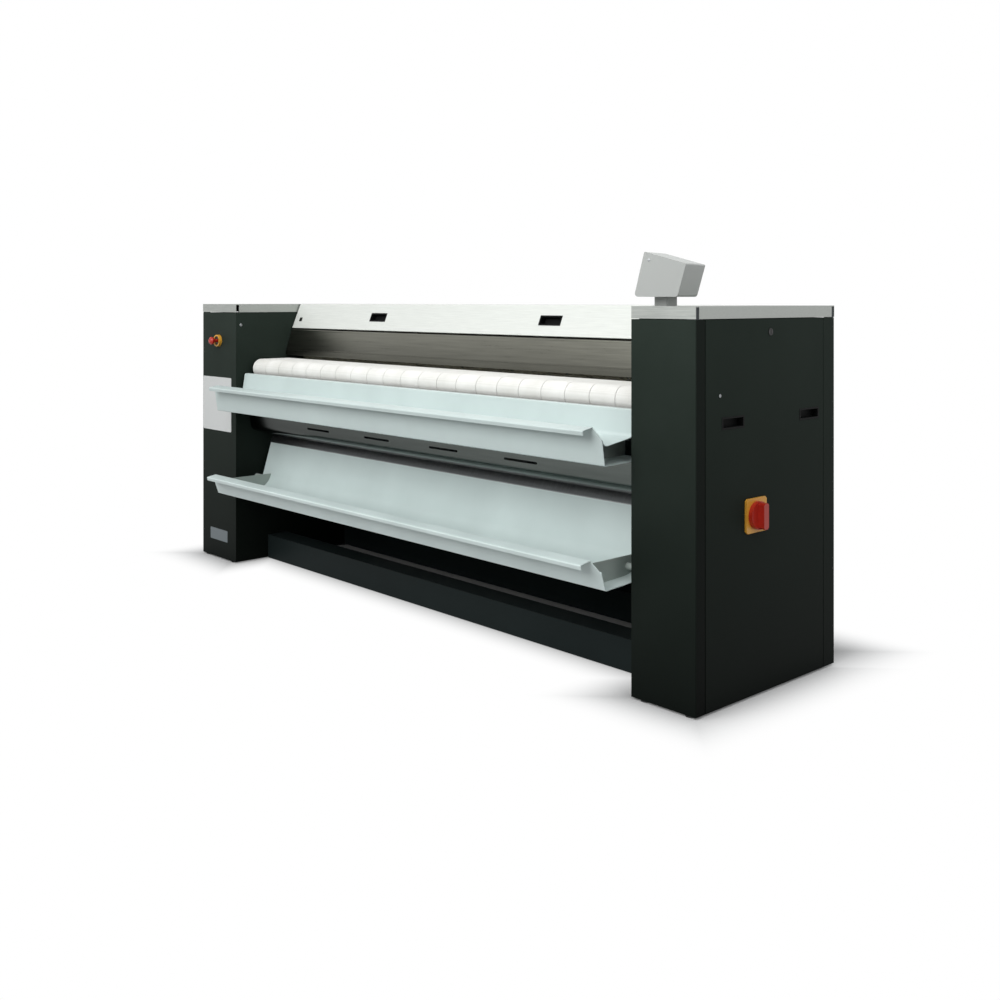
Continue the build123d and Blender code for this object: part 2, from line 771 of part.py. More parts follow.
# ---- cylinder
def cylinder_shell():
    """The heated drum: shell, end discs and hollow journals in one welded piece."""
    place = (cylinder_y, cylinder_z)
    drum = ring(cylinder_x, place, cylinder_radius, cylinder_radius - cylinder_wall)
    for x in (cylinder_x[0], cylinder_x[1] - 2 * cylinder_wall):
        disc = (x + cylinder_wall / 2, x + 3 * cylinder_wall / 2)
        drum += ring(disc, place, cylinder_radius - cylinder_wall / 2, journal_bore)
    left_journal = (left_in - journal_reach, cylinder_x[0] + cylinder_wall)
    right_journal = (cylinder_x[1] - cylinder_wall, right_in + journal_reach - sprocket_plane / 2)
    for span in (left_journal, right_journal):
        drum += ring(span, place, journal_radius, journal_bore)
    return drum


def cylinder_bearings():
    units = []
    for cabinet in cabinets:
        x = out(cabinet, frame_plate, frame_plate + 22)
        place = (cylinder_y, cylinder_z)
        base = out(cabinet, frame_plate, frame_plate + 9)
        half = 2 * journal_radius
        unit = block(base, (cylinder_y - half, cylinder_y + half), (cylinder_z - half, cylinder_z + half))
        unit += rod(x, place, half - 10)
        unit -= rod((x[0] - 1, x[1] + 1), place, journal_radius + bearing_clearance)
        units.append(unit)
    return group(units)


def belt_loop(depth_in):
    """The closed path of a face of the ironing belts, depth_in below the rollers' side."""
    radius = belt_roller_radius + depth_in
    hug = centre_distance - belt_roller_radius - depth_in
    rollers = [nip_roller, tension_roller, low_roller, exit_roller]

    def at(centre, turn):
        return (centre[0] + radius * cos(turn), centre[1] + radius * sin(turn))

    normals = []
    for first, second in zip(rollers, rollers[1:]):
        normals.append(atan2(second[1] - first[1], second[0] - first[0]) + pi / 2)
    start = radians(nip_angle) + pi
    finish = radians(exit_angle) - pi
    turns = [(start, normals[0]), (normals[0], normals[1]), (normals[1], normals[2]),
             (normals[2], finish - 2 * pi)]
    edges = []
    for number, (centre, (first, last)) in enumerate(zip(rollers, turns)):
        while last > first:
            last -= 2 * pi
        while first - last > 2 * pi:
            last += 2 * pi
        edges.append(ThreePointArc(at(centre, first), at(centre, (first + last) / 2), at(centre, last)))
        if number < len(normals):
            edges.append(Line(at(centre, last), at(rollers[number + 1], last)))
    edges.append(ThreePointArc(around_cylinder(exit_angle, hug), around_cylinder(0, hug),
                               around_cylinder(nip_angle, hug)))
    return make_face(edges)


def ironing_belts():
    """Endless felt bands: down over the cylinder from nip to exit, back round the outside."""
    section = belt_loop(ironing_belt) - belt_loop(0)
    span = (left_in + belt_edge_margin, right_in - belt_edge_margin)
    pitch = (span[1] - span[0] + ironing_belt_space) / ironing_belt_count
    bands = []
    for number in range(ironing_belt_count):
        left = span[0] + number * pitch
        bands.append(along_x(section, (left, left + pitch - ironing_belt_space)))
    return group(bands)


def heater_bundle():
    """Fixed rod heaters inside the drum, on a tube that passes through both journals."""
    place = (cylinder_y, cylinder_z)
    reach = journal_reach + 2 * flange
    bundle = rod((left_in - reach, right_in + reach), place, heater_tube)
    span = (cylinder_x[0] + 3 * flange, cylinder_x[1] - 3 * flange)
    for share in (0.0, 0.5, 1.0):
        x = span[0] + share * (span[1] - span[0])
        bundle += rod((x - 3, x + 3), place, heater_circle + 2 * heater_rod)
    for number in range(heater_count):
        turn = 360 * number / heater_count
        spot = around_cylinder(turn, heater_circle)
        bundle += rod((span[0] - flange, span[1] + flange), spot, heater_rod)
    return bundle


def heater_brackets():
    """Brackets that hold the heater tube's ends outside the bearings, clear of the chain."""
    brackets = []
    for cabinet in cabinets:
        near = journal_reach + 6
        arm_x = out(cabinet, near, near + 10)
        foot_z = cylinder_z + sprocket_radius(cylinder_teeth) + flange
        arm = block(arm_x, (cylinder_y - 18, cylinder_y + 18), (cylinder_z - 20, foot_z + 6))
        arm += block(out(cabinet, frame_plate, near + 10), (cylinder_y - 18, cylinder_y + 18),
                     (foot_z, foot_z + 6))
        arm -= rod((arm_x[0] - 1, arm_x[1] + 1), (cylinder_y, cylinder_z), heater_tube)
        brackets.append(arm)
    return group(brackets)


# ---- trough, exit and tray
def lip_start(lip):
    return (lip[0] + lip_hem / 4, lip[1] - lip_hem)


def trough_path():
    back = (front_beam_y + front_beam_depth, trough_back[1])
    return [lip_start(trough_lip), trough_lip, trough_wall_top, trough_foot, trough_back, back]


def cut_corners(tray, wall_top):
    """Sets the lip back from both ends and cuts the wall's corners down on a slant."""
    reach = lip_setback + lip_hem + 2 * pan_bend
    front, low, high = wall_top[0] - reach, wall_top[1] - lip_corner, wall_top[1] + lip_hem
    for end, inward in ((tray_x[0], 1), (tray_x[1], -1)):
        outside = end - inward
        inside = end + inward * lip_setback
        slant = polygon([(outside, low), (end, low), (inside, wall_top[1] - 1), (inside, high),
                         (outside, high)])
        tray -= Pos(0, wall_top[0] + lip_hem, 0) * extrude(Plane.XZ * slant, lip_hem + reach)
        tray -= block((outside, inside), (front, wall_top[0] - tray_sheet), (low, high))
    return tray


def feed_trough():
    """The outer skin: curled lip, leaning front wall and the pan up to the front beam."""
    skin = along_x(folded(trough_path(), [2.2, 2.2, pan_bend, 20.0], tray_sheet), tray_x)
    return cut_corners(skin, trough_wall_top)


def liner_path():
    wall = inset([trough_wall_top, trough_foot], tray_sheet)
    start = point_at_z(wall[0], wall[1], liner_start_z)
    valley = point_at_z(wall[0], wall[1], liner_valley_z)
    return [start, valley, liner_bend, liner_edge, (liner_edge[0] + liner_flange, liner_edge[1])]


def trough_liner():
    """The trough's inner floor and back wall, up to the feed belts' nose."""
    liner = along_x(folded(liner_path(), [18.0, 16.0, 2.5], liner_sheet), tray_x)
    return cut_corners(liner, trough_wall_top)


def end_plate_spans(plate_inset):
    left = tray_x[0] + plate_inset
    right = tray_x[1] - plate_inset
    return ((left, left + end_plate), (right - end_plate, right))


def trough_end_plates():
    pan = inset([trough_wall_top, trough_foot, trough_back], tray_sheet)
    liner = liner_path()
    beam_top = (front_beam_y, front_beam_z + front_beam_height)
    top = point_at_z(liner[2], liner[3], liner_start_z)
    edge = FilletPolyline(liner[1], pan[1], pan[2], radius=[pan_bend - tray_sheet])
    rest = Polyline(pan[2], beam_top, (liner[3][0], liner_start_z), top, liner[2], liner[1])
    face = make_face(edge.edges() + rest.edges())
    return group([along_x(face, span) for span in end_plate_spans(trough_plate_inset)])


def catch_path():
    return [lip_start(catch_lip), catch_lip, catch_wall_top, catch_foot, catch_bend, catch_edge]


def catch_tray():
    tray = along_x(folded(catch_path(), [2.2, 2.2, pan_bend, catch_bend_radius], tray_sheet), tray_x)
    return cut_corners(tray, catch_wall_top)


def catch_end_plates():
    inner = inset(catch_path()[2:], tray_sheet)
    front = point_at_z(inner[0], inner[1], catch_end_top)
    back = point_at_z(inner[2], inner[3], catch_end_top)
    bends = [pan_bend - tray_sheet, catch_bend_radius - tray_sheet]
    curve = FilletPolyline(front, inner[1], inner[2], back, radius=bends)
    face = make_face(curve.edges() + [Line(back, front)])
    return group([along_x(face, span) for span in end_plate_spans(catch_plate_inset)])


def tray_spacers():
    """Bushes that carry the catch tray's end plates on the frame plates."""
    left, right = end_plate_spans(catch_plate_inset)
    back = catch_bend[0] - spacer_radius
    places = [(back - 3 * spacer_radius, catch_end_top - 3 * spacer_radius),
              (back, catch_end_top - 1.5 * spacer_radius)]
    bushes = []
    for place in places:
        bushes.append(rod((left_in, left[0]), place, spacer_radius))
        bushes.append(rod((right[1], right_in), place, spacer_radius))
    return group(bushes)


def apron_top():
    share = (apron_top_y - trough_foot[0]) / (trough_back[0] - trough_foot[0])
    return (apron_top_y, trough_foot[1] + share * trough_rise - 2 * linen_gap)


def exit_apron():
    """Glossy guide over the exit, with four long slots."""
    section = folded([apron_top(), apron_knee, apron_end], [apron_radius], apron_sheet)
    apron = along_x(section, gap_x)
    spot = point_at_z(apron_top(), apron_knee, apron_slot_z)
    for offset_x in apron_slot_offsets:
        for x in (middle_x - offset_x, middle_x + offset_x):
            outline = Plane.XZ * SlotOverall(apron_slot_length, apron_slot_height)
            apron -= Pos(x, *spot) * extrude(outline, 10 * apron_sheet, both=True)
    for x in (gap_x[0], gap_x[1]):
        tab_x = (left_in, x + flange) if x < 0 else (x - flange, right_in)
        apron += along_x(polygon(apron_tab()), tab_x)
    return apron


def apron_tab():
    """A welded tab behind the apron that reaches the frame plate."""
    inner = inset([apron_top(), apron_knee], apron_sheet)
    low = point_at_z(inner[0], inner[1], apron_slot_z + flange)
    high = point_at_z(inner[0], inner[1], apron_slot_z + 2 * flange)
    return [low, (low[0] + 2 * flange, low[1]), (low[0] + 2 * flange, high[1]), high]


def exit_chute():
    """The slope that carries the linen from the exit roller down to the tray's back wall."""
    foot = (catch_edge[0] + tray_sheet + chute_gap, catch_edge[1])
    points = [(foot[0], foot[1] - 2 * flange), foot, chute_top, (chute_top[0] - 2, chute_top[1] - flange)]
    section = folded([points[0], points[1], points[2]], [8.0], apron_sheet, Side.RIGHT)
    return along_x(section, (left_in, right_in))


def stripper_fingers():
    """A bar with sprung fingers that lift the linen's edge off the drum."""
    tip = around_cylinder(stripper_angle, cylinder_radius + stripper_tip_gap)
    root = around_cylinder(stripper_angle - 6, cylinder_radius + finger_length)
    heel = around_cylinder(stripper_angle - 12, cylinder_radius + finger_length - 2 * stripper_tip_gap)
    finger = polygon([tip, root, heel])
    bar_place = around_cylinder(stripper_angle - 9, cylinder_radius + finger_length + stripper_bar / 2)
    bar = rod((left_in, right_in), bar_place, stripper_bar)
    step = (roller_x[1] - roller_x[0]) / stripper_count
    for number in range(stripper_count):
        x = roller_x[0] + (number + 0.5) * step
        bar += along_x(finger, (x - finger_width / 2, x + finger_width / 2))
    return bar


# ---- drive side
def sprocket_radius(teeth):
    return chain_pitch / (2 * sin(pi / teeth)) + 0.28 * chain_pitch


def sprocket_outline(teeth):
    """Round-bottomed chain teeth: a seat cut at each pitch point."""
    pitch_radius = chain_pitch / (2 * sin(pi / teeth))
    seat = 0.31 * chain_pitch
    disc = Circle(sprocket_radius(teeth))
    seats = []
    for number in range(teeth):
        turn = 2 * pi * number / teeth
        seats.append(Pos(pitch_radius * cos(turn), pitch_radius * sin(turn)) * Circle(seat))
    return disc - seats


def sprocket(teeth, place, bore):
    x0 = left_in - sprocket_plane
    half = 0.28 * chain_pitch
    face = Pos(*place) * sprocket_outline(teeth)
    wheel = along_x(face, (x0 - half, x0 + half))
    wheel += rod((x0 - 2 * half, x0 + 2 * half), place, bore + 8)
    return wheel - rod((x0 - 3 * half, x0 + 3 * half), place, bore)


def cylinder_sprocket():
    return sprocket(cylinder_teeth, (cylinder_y, cylinder_z), journal_radius)


def motor_sprocket():
    wheel = sprocket(motor_teeth, (motor_y, motor_z), 14.0)
    x0 = left_in - sprocket_plane
    return wheel + rod((x0 + flange, x0 - 3 * flange), (motor_y, motor_z), 14.0)


def chain_band():
    """The roller chain's run round both sprockets, as one band clear of the teeth."""
    radii = [sprocket_radius(teeth) + chain_gap for teeth in (motor_teeth, cylinder_teeth)]
    places = [(motor_y, motor_z), (cylinder_y, cylinder_z)]
    faces = []
    for extra in (chain_height, 0):
        faces.append(hull_of_two(places, [radii[0] + extra, radii[1] + extra]))
    x0 = left_in - sprocket_plane
    return along_x(faces[0] - faces[1], (x0 - chain_width / 2, x0 + chain_width / 2))


def hull_of_two(places, radii):
    (y0, z0), (y1, z1) = places
    span = hypot(y1 - y0, z1 - z0)
    lean = atan2(z1 - z0, y1 - y0)
    spread = pi / 2 + atan2(radii[1] - radii[0], (span ** 2 - (radii[1] - radii[0]) ** 2) ** 0.5)

    def at(number, turn):
        y, z = places[number]
        return (y + radii[number] * cos(turn), z + radii[number] * sin(turn))

    edges = [
        ThreePointArc(at(0, lean + spread), at(0, lean + pi), at(0, lean - spread)),
        Line(at(0, lean - spread), at(1, lean - spread)),
        ThreePointArc(at(1, lean - spread), at(1, lean), at(1, lean + spread)),
        Line(at(1, lean + spread), at(0, lean + spread)),
    ]
    return make_face(edges)


def gearmotor():
    """Worm gearbox on its bracket, with the finned motor lying towards the back."""
    x0 = left_in - sprocket_plane - 3 * flange
    half = gearbox / 2
    box = block((x0, x0 - 0.75 * gearbox), (motor_y - half, motor_y + half), (motor_z - half, motor_z + half))
    box = chamfer(box.edges().filter_by(Axis.X), 12)
    centre_x = x0 - 0.375 * gearbox
    start = motor_y + half
    motor = rod_y((start, start + motor_length), centre_x, motor_z - 6, motor_radius - 6)
    motor += rod_y((start, start + 8), centre_x, motor_z - 6, motor_radius)
    motor += rod_y((start + motor_length - 40, start + motor_length), centre_x, motor_z - 6, motor_radius)
    fins = 6
    for number in range(fins):
        y = start + 24 + number * 20
        motor += rod_y((y, y + 5), centre_x, motor_z - 6, motor_radius)
    return box + motor


def gearmotor_bracket():
    x0 = left_in - frame_plate
    far = left_in - sprocket_plane - 3 * flange - 0.75 * gearbox
    half = gearbox / 2
    low = motor_z - half
    plate = block((x0, far), (motor_y - half, motor_y + half), (low - frame_plate, low))
    wall = block((x0, x0 - frame_plate), (motor_y - half, motor_y + half), (low - gearbox, low))
    rib = along_x(polygon([(motor_y - 4, low), (motor_y + 4, low), (motor_y + 4, low - gearbox),
                           (motor_y - 4, low - gearbox)]), (x0, x0 - gearbox / 2))
    return plate + wall + rib


def fan_x():
    return left_in - post_leg - seam - spigot_radius


def fan_duct_z():
    return fan_z - scroll_start - 3 * scroll_step + duct_height / 2


def scroll_outline(extra):
    """A spiral of quarter arcs that opens into a straight duct to the back."""
    radii = [scroll_start + step * scroll_step + extra for step in range(4)]
    last = radii[3]
    top = fan_z + radii[0]
    bottom = fan_z - last
    duct_top = bottom + duct_height + 2 * extra
    end = depth - panel_sheet - 2 * flange
    at_front = (fan_y - radii[2] + (radii[2] - radii[1]) / 2, fan_z)
    edges = [
        Line((fan_y + radii[0], duct_top), (end, duct_top)),
        Line((end, duct_top), (end, bottom)),
        Line((end, bottom), (fan_y, bottom)),
        RadiusArc((fan_y, bottom), at_front, (radii[3] + radii[2]) / 2),
        RadiusArc(at_front, (fan_y, top), (radii[1] + radii[0]) / 2),
        RadiusArc((fan_y, top), (fan_y + radii[0], fan_z), radii[0]),
        Line((fan_y + radii[0], fan_z), (fan_y + radii[0], duct_top)),
    ]
    return make_face(edges)


def fan_scroll():
    """The fan's spiral housing, open at the inlet eye and at the duct's end."""
    x = (left_in - frame_plate, left_in - frame_plate - fan_width)
    case = along_x(scroll_outline(0), x)
    inner_x = (x[0] - scroll_sheet, x[1] + scroll_sheet)
    case -= along_x(scroll_outline(-scroll_sheet), inner_x)
    end = depth - panel_sheet - 2 * flange
    case -= block((inner_x[0], inner_x[1]), (end - 10, end + 1),
                  (fan_z - scroll_start - 3 * scroll_step + scroll_sheet,
                   fan_z - scroll_start - 3 * scroll_step + duct_height - scroll_sheet))
    case -= rod((x[0] + 1, x[0] - 2 * scroll_sheet), (fan_y, fan_z), impeller_radius - scroll_step)
    case -= rod((x[1] - 1, x[1] + 2 * scroll_sheet), (fan_y, fan_z), 12.0)
    return case


def exhaust_spigot():
    """A square collar on the scroll's duct and the round spigot through the rear panel."""
    end = depth - panel_sheet - 2 * flange
    x = (left_in - frame_plate, left_in - frame_plate - fan_width)
    z = (fan_z - scroll_start - 3 * scroll_step, fan_z - scroll_start - 3 * scroll_step + duct_height)
    collar = block((x[0], min(x[1], fan_x() - spigot_radius)), (end, end + 4), z)
    reach = (end + 2, depth + spigot_reach)
    collar += rod_y(reach, fan_x(), fan_duct_z(), spigot_radius)
    seat = (depth, depth + spigot_flange)
    collar += rod_y(seat, fan_x(), fan_duct_z(), spigot_radius + 4 * spigot_flange)
    bore = (end - 1, depth + spigot_reach + 1)
    return collar - rod_y(bore, fan_x(), fan_duct_z(), spigot_radius - spigot_wall)


def fan_impeller():
    """A drum of forward-curved blades between a back plate and a front ring."""
    front = left_in - frame_plate - scroll_sheet - 6
    x = (front, front - impeller_width)
    place = (fan_y, fan_z)
    wheel = rod((x[1], x[1] + 3), place, impeller_radius)
    wheel += ring((x[0] - 3, x[0]), place, impeller_radius, impeller_radius - 14)
    for number in range(blade_count):
        turn = 360 * number / blade_count
        wheel += along_x(Pos(*place) * Rot(0, 0, turn) * blade_face(), x)
    wheel += rod((x[1], x[1] + 25), place, 14.0)
    return wheel - rod((x[1] - 1, x[1] + 20), place, 6.0 + fit)


def blade_face():
    inner = impeller_radius - 14
    outer = impeller_radius - 0.6
    thick = 1.6
    tip = (outer * cos(radians(9)), outer * sin(radians(9)))
    middle = (inner + outer) / 2
    return make_face([
        ThreePointArc((inner, 0), (middle + 1.5, 3.0), tip),
        Line(tip, (tip[0] - 0.4, tip[1] + thick)),
        ThreePointArc((tip[0] - 0.4, tip[1] + thick), (middle - 0.3, 3.0 + thick), (inner, thick)),
        Line((inner, thick), (inner, 0)),
    ])


def fan_motor():
    back = left_in - frame_plate - fan_width
    place = (fan_y, fan_z)
    motor = rod((back, back - 6), place, 62.0)
    motor += rod((back - 6, back - 86), place, 50.0)
    shaft = rod((back, left_in - frame_plate - scroll_sheet - 6 - impeller_width + 19), place, 6.0)
    return motor + shaft


# ---- control side
def electrical_plate():
    """The mounting plate with its rails, held on stand-offs from the right frame."""
    y, z = plate_y, plate_z
    plate = block(out("right", plate_stand, plate_stand + plate_sheet), y, z)
    rail_x = out("right", plate_stand + plate_sheet, device_back)
    for rail_z in device_rows:
        plate += block(rail_x, (y[0] + stand_off, y[1] - stand_off),
                       (rail_z - device_rail / 2, rail_z + device_rail / 2))
    for spot_y in (y[0] + 2 * stand_off, y[1] - 2 * stand_off):
        for spot_z in (z[0] + 2 * stand_off, z[1] - 2 * stand_off):
            plate += rod(out("right", frame_plate, plate_stand), (spot_y, spot_z), stand_off)
    return plate


def contactors():
    """Contactors, relays and terminal blocks clipped side by side on the rails."""
    devices = []
    base = device_back
    low, high = device_rows
    for number in range(4):
        y = plate_y[0] + 2 * stand_off + number * contactor_pitch
        span = (y, y + contactor)
        body = block(out("right", base, base + contactor), span,
                     (low - 0.9 * contactor, low + 0.9 * contactor))
        body += block(out("right", base + contactor, base + 1.6 * contactor), span,
                      (low - contactor / 2, low + contactor / 2))
        devices.append(body)
    for number in range(3):
        y = plate_y[1] - 4 * stand_off - (number + 1) * relay_pitch
        devices.append(block(out("right", base, base + contactor), (y, y + relay),
                             (high - relay, high + relay)))
    return group(devices)


def switch_base():
    """The main switch on the mounting plate, behind the side panel's handle."""
    x = out("right", plate_stand + plate_sheet, switch_front)
    half = switch_body / 2
    base = block(x, (switch_y - half, switch_y + half), (switch_z - half, switch_z + half))
    return base - rod((x[1] - switch_coupling, x[1] + 1), (switch_y, switch_z), switch_coupling)


def switch_shaft_rod():
    half = switch_shaft / 2
    start = right_in + switch_front - switch_coupling + 2
    end = right_out + switch_plate_thickness + 18
    shaft = block((start, end), (switch_y - half, switch_y + half), (switch_z - half, switch_z + half))
    return shaft


def switch_plate_piece():
    """The yellow escutcheon on the side panel."""
    half = switch_plate / 2
    plate = block((right_out, right_out + switch_plate_thickness), (switch_y - half, switch_y + half),
                  (switch_z - half, switch_z + half))
    plate = chamfer(plate.edges().filter_by(Axis.X), 6)
    return plate - rod((right_out - 1, right_out + 20), (switch_y, switch_z), switch_shaft + 4)


def switch_handle():
    """The red rotary handle: a round skirt with a raised grip bar across it."""
    x = (right_out + switch_plate_thickness + 0.3, right_out + switch_handle_reach)
    place = (switch_y, switch_z)
    skirt = rod((x[0], x[0] + 12), place, switch_handle_radius)
    bar = block((x[0] + 12, x[1]), (switch_y - 11, switch_y + 11), (switch_z - 36, switch_z + 36))
    bar = chamfer(bar.edges().filter_by(Axis.X), 5)
    half = switch_shaft / 2 + 0.2
    socket = block((x[0] - 1, right_out + switch_plate_thickness + 18.5),
                   (switch_y - half, switch_y + half), (switch_z - half, switch_z + half))
    return skirt + bar - socket


def estop_body():
    """The yellow collar in front of the panel and the contact block behind it."""
    body = rod_y((-estop_shroud, 0), estop_x, estop_z, estop_collar)
    body -= rod_y((-estop_shroud - 1, -estop_rim), estop_x, estop_z, estop_collar - estop_rim)
    body += rod_y((-estop_rim, 20), estop_x, estop_z, 11.0)
    body += rod_y((panel_sheet, panel_sheet + 5), estop_x, estop_z, 15.0)
    body += block((estop_x - 15, estop_x + 15), (20, 60), (estop_z - 20, estop_z + 20))
    return body - rod_y((-estop_shroud, 12), estop_x, estop_z, estop_bore)


def estop_button():
    """Red mushroom head on its stem."""
    stem_end = 12 - estop_travel - 0.5
    radius = estop_button_radius
    profile = [(0, -estop_reach), (0.6 * radius, -estop_reach + 1.5), (radius, -estop_reach + 8),
               (radius, -estop_reach + 14), (0.7 * radius, -estop_reach + 21),
               (6.5, -estop_reach + 24), (6.5, stem_end), (0, stem_end)]
    face = polygon(profile)
    return Pos(estop_x, 0, estop_z) * revolve(face, Axis.Y)


# ---- console
def console_place(shape):
    return Pos(console_x, console_y, height + post_height) * Rot(0, 0, console_turn) * shape


def console_profile():
    shift = -console_base / 2
    points = [(0, 0), (console_base, 0), console_back_top, console_front_top]
    return [(x + shift, z) for x, z in points]


def console_slab(points, y):
    face = Plane.XZ * polygon(points)
    low, high = sorted(y)
    return Pos(0, high, 0) * extrude(face, high - low)


def console_housing():
    """A moulded box, rounded along its lower edges, open at the screen side."""
    half = console_width / 2
    points = console_profile()
    box = console_slab(points, (-half, half))
    lower = box.edges().filter_by(Axis.Y).sort_by(Axis.Z)[:2]
    box = fillet(lower, console_corner)
    box = chamfer(box.edges().filter_by(Axis.Y).sort_by(Axis.Z)[-2:], 2.5)
    inner = inset([points[0], points[1], points[2], points[3], points[0]], console_wall)
    corner_low = inset([points[3], points[0], points[1]], console_wall)[1]
    hollow = [corner_low, inner[1], inner[2], inner[3]]
    reach = console_front(0.0, 3 * console_wall)
    box -= console_slab(hollow, (-half + console_wall, half - console_wall))
    box -= console_slab([corner_low, inner[3], reach[1], reach[0]],
                        (-half + 3 * console_wall, half - 3 * console_wall))
    return box - Cylinder(swivel_radius + fit, 4 * console_wall)


def front_frame():
    """Origin, direction up the screen and outward normal of the console's front face."""
    points = console_profile()
    foot = points[0]
    top = points[3]
    run = hypot(top[0] - foot[0], top[1] - foot[1])
    up = ((top[0] - foot[0]) / run, (top[1] - foot[1]) / run)
    return foot, up, (-up[1], up[0]), run


def console_front(lift, margin):
    """Two points on the front face, a margin in from its lower and upper edges."""
    foot, up, normal, run = front_frame()
    low = (foot[0] + up[0] * margin + normal[0] * lift, foot[1] + up[1] * margin + normal[1] * lift)
    far = run - margin
    high = (foot[0] + up[0] * far + normal[0] * lift, foot[1] + up[1] * far + normal[1] * lift)
    return (low[0] + normal[0], low[1] + normal[1]), (high[0] + normal[0], high[1] + normal[1])


def on_front(shape, across, along):
    """Places a shape drawn along +Z on the console's front, across and along from its foot's middle."""
    foot, up, normal, _ = front_frame()
    tilt = degrees(atan2(normal[1], -normal[0]))
    spot = (foot[0] + up[0] * along, foot[1] + up[1] * along)
    return Pos(spot[0], across, spot[1]) * Rot(0, -90 + tilt, 0) * shape


def console_panel():
    """The keypad panel let into the front, with a window for the screen and holes for the keys."""
    _, _, _, run = front_frame()
    margin = 3 * console_wall + fit
    plate = Box(run - 2 * margin, console_width - 2 * margin, console_wall)
    panel = on_front(Pos(run / 2, 0, -console_wall / 2) * plate, 0, 0)
    for across, along in key_spots():
        panel -= on_front(Cylinder(key_radius + 0.3, 6 * console_wall), across, along)
    panel -= on_front(Box(screen_tall, screen_wide, 2 * screen_depth), 0, screen_along)
    return panel


def key_spots():
    return [((number - 1.5) * key_spread, key_row) for number in range(4)]


def console_screen():
    glass = Box(screen_tall - 2 * fit, screen_wide - 2 * fit, screen_depth)
    return on_front(Pos(0, 0, -screen_depth / 2) * glass, 0, screen_along)


def console_key(number):
    """A round key with a collar behind the panel that keeps it from falling out."""
    across, along = key_spots()[number]
    key = Pos(0, 0, -1.5) * Cylinder(key_radius, 8)
    key += Pos(0, 0, -console_wall - key_travel / 2 - 0.55) * Cylinder(key_radius + 1.5, key_travel)
    return on_front(key, across, along)


def console_post():
    """The square post on the right cover, with the round swivel pin on top."""
    half = post_size / 2
    post = block((console_x - half, console_x + half), (console_y - half, console_y + half),
                 (height, height + post_height - 0.3))
    post = chamfer(post.edges().filter_by(Axis.Z), 3)
    pin_top = height + post_height + console_wall + 3
    pin = Pos(console_x, console_y, (height + pin_top) / 2) * Cylinder(swivel_radius, pin_top - height)
    post += pin
    collar = Pos(console_x, console_y, pin_top - 1.25) * Cylinder(swivel_radius + 5, 2.5)
    bore = Pos(console_x, console_y, height) * Cylinder(swivel_radius - 4, 4 * post_height)
    return post + collar - bore


# ---- small pieces
def guard_switch():
    """The safety switch that the finger guard pushes, on the right frame."""
    y = (guard_pivot_y + 2, guard_pivot_y + 28)
    body = block((right_in - 14, right_in), y, (guard_pivot_z - 44, guard_pivot_z - 14))
    plunger_z = (guard_pivot_z - 32, guard_pivot_z - 26)
    return body + block((right_in - 9, right_in - 5), (y[0] - 3, y[0]), plunger_z)


def cable_gland():
    """The mains inlet: a threaded gland in the right rear panel, with no cord."""
    x = (right_in + right_out) / 2
    gland = rod_y((depth, depth + 16), x, gland_z, gland_radius)
    gland += rod_y((depth + 16, depth + gland_reach), x, gland_z, gland_radius - 3)
    return gland - rod_y((depth - 1, depth + gland_reach + 1), x, gland_z, gland_bore)


def joined(*shapes):
    """Pieces that are fixed together and kept in one node, each still its own solid."""
    return group(shapes)


def on_both(piece):
    return joined(*[piece(cabinet) for cabinet in cabinets])


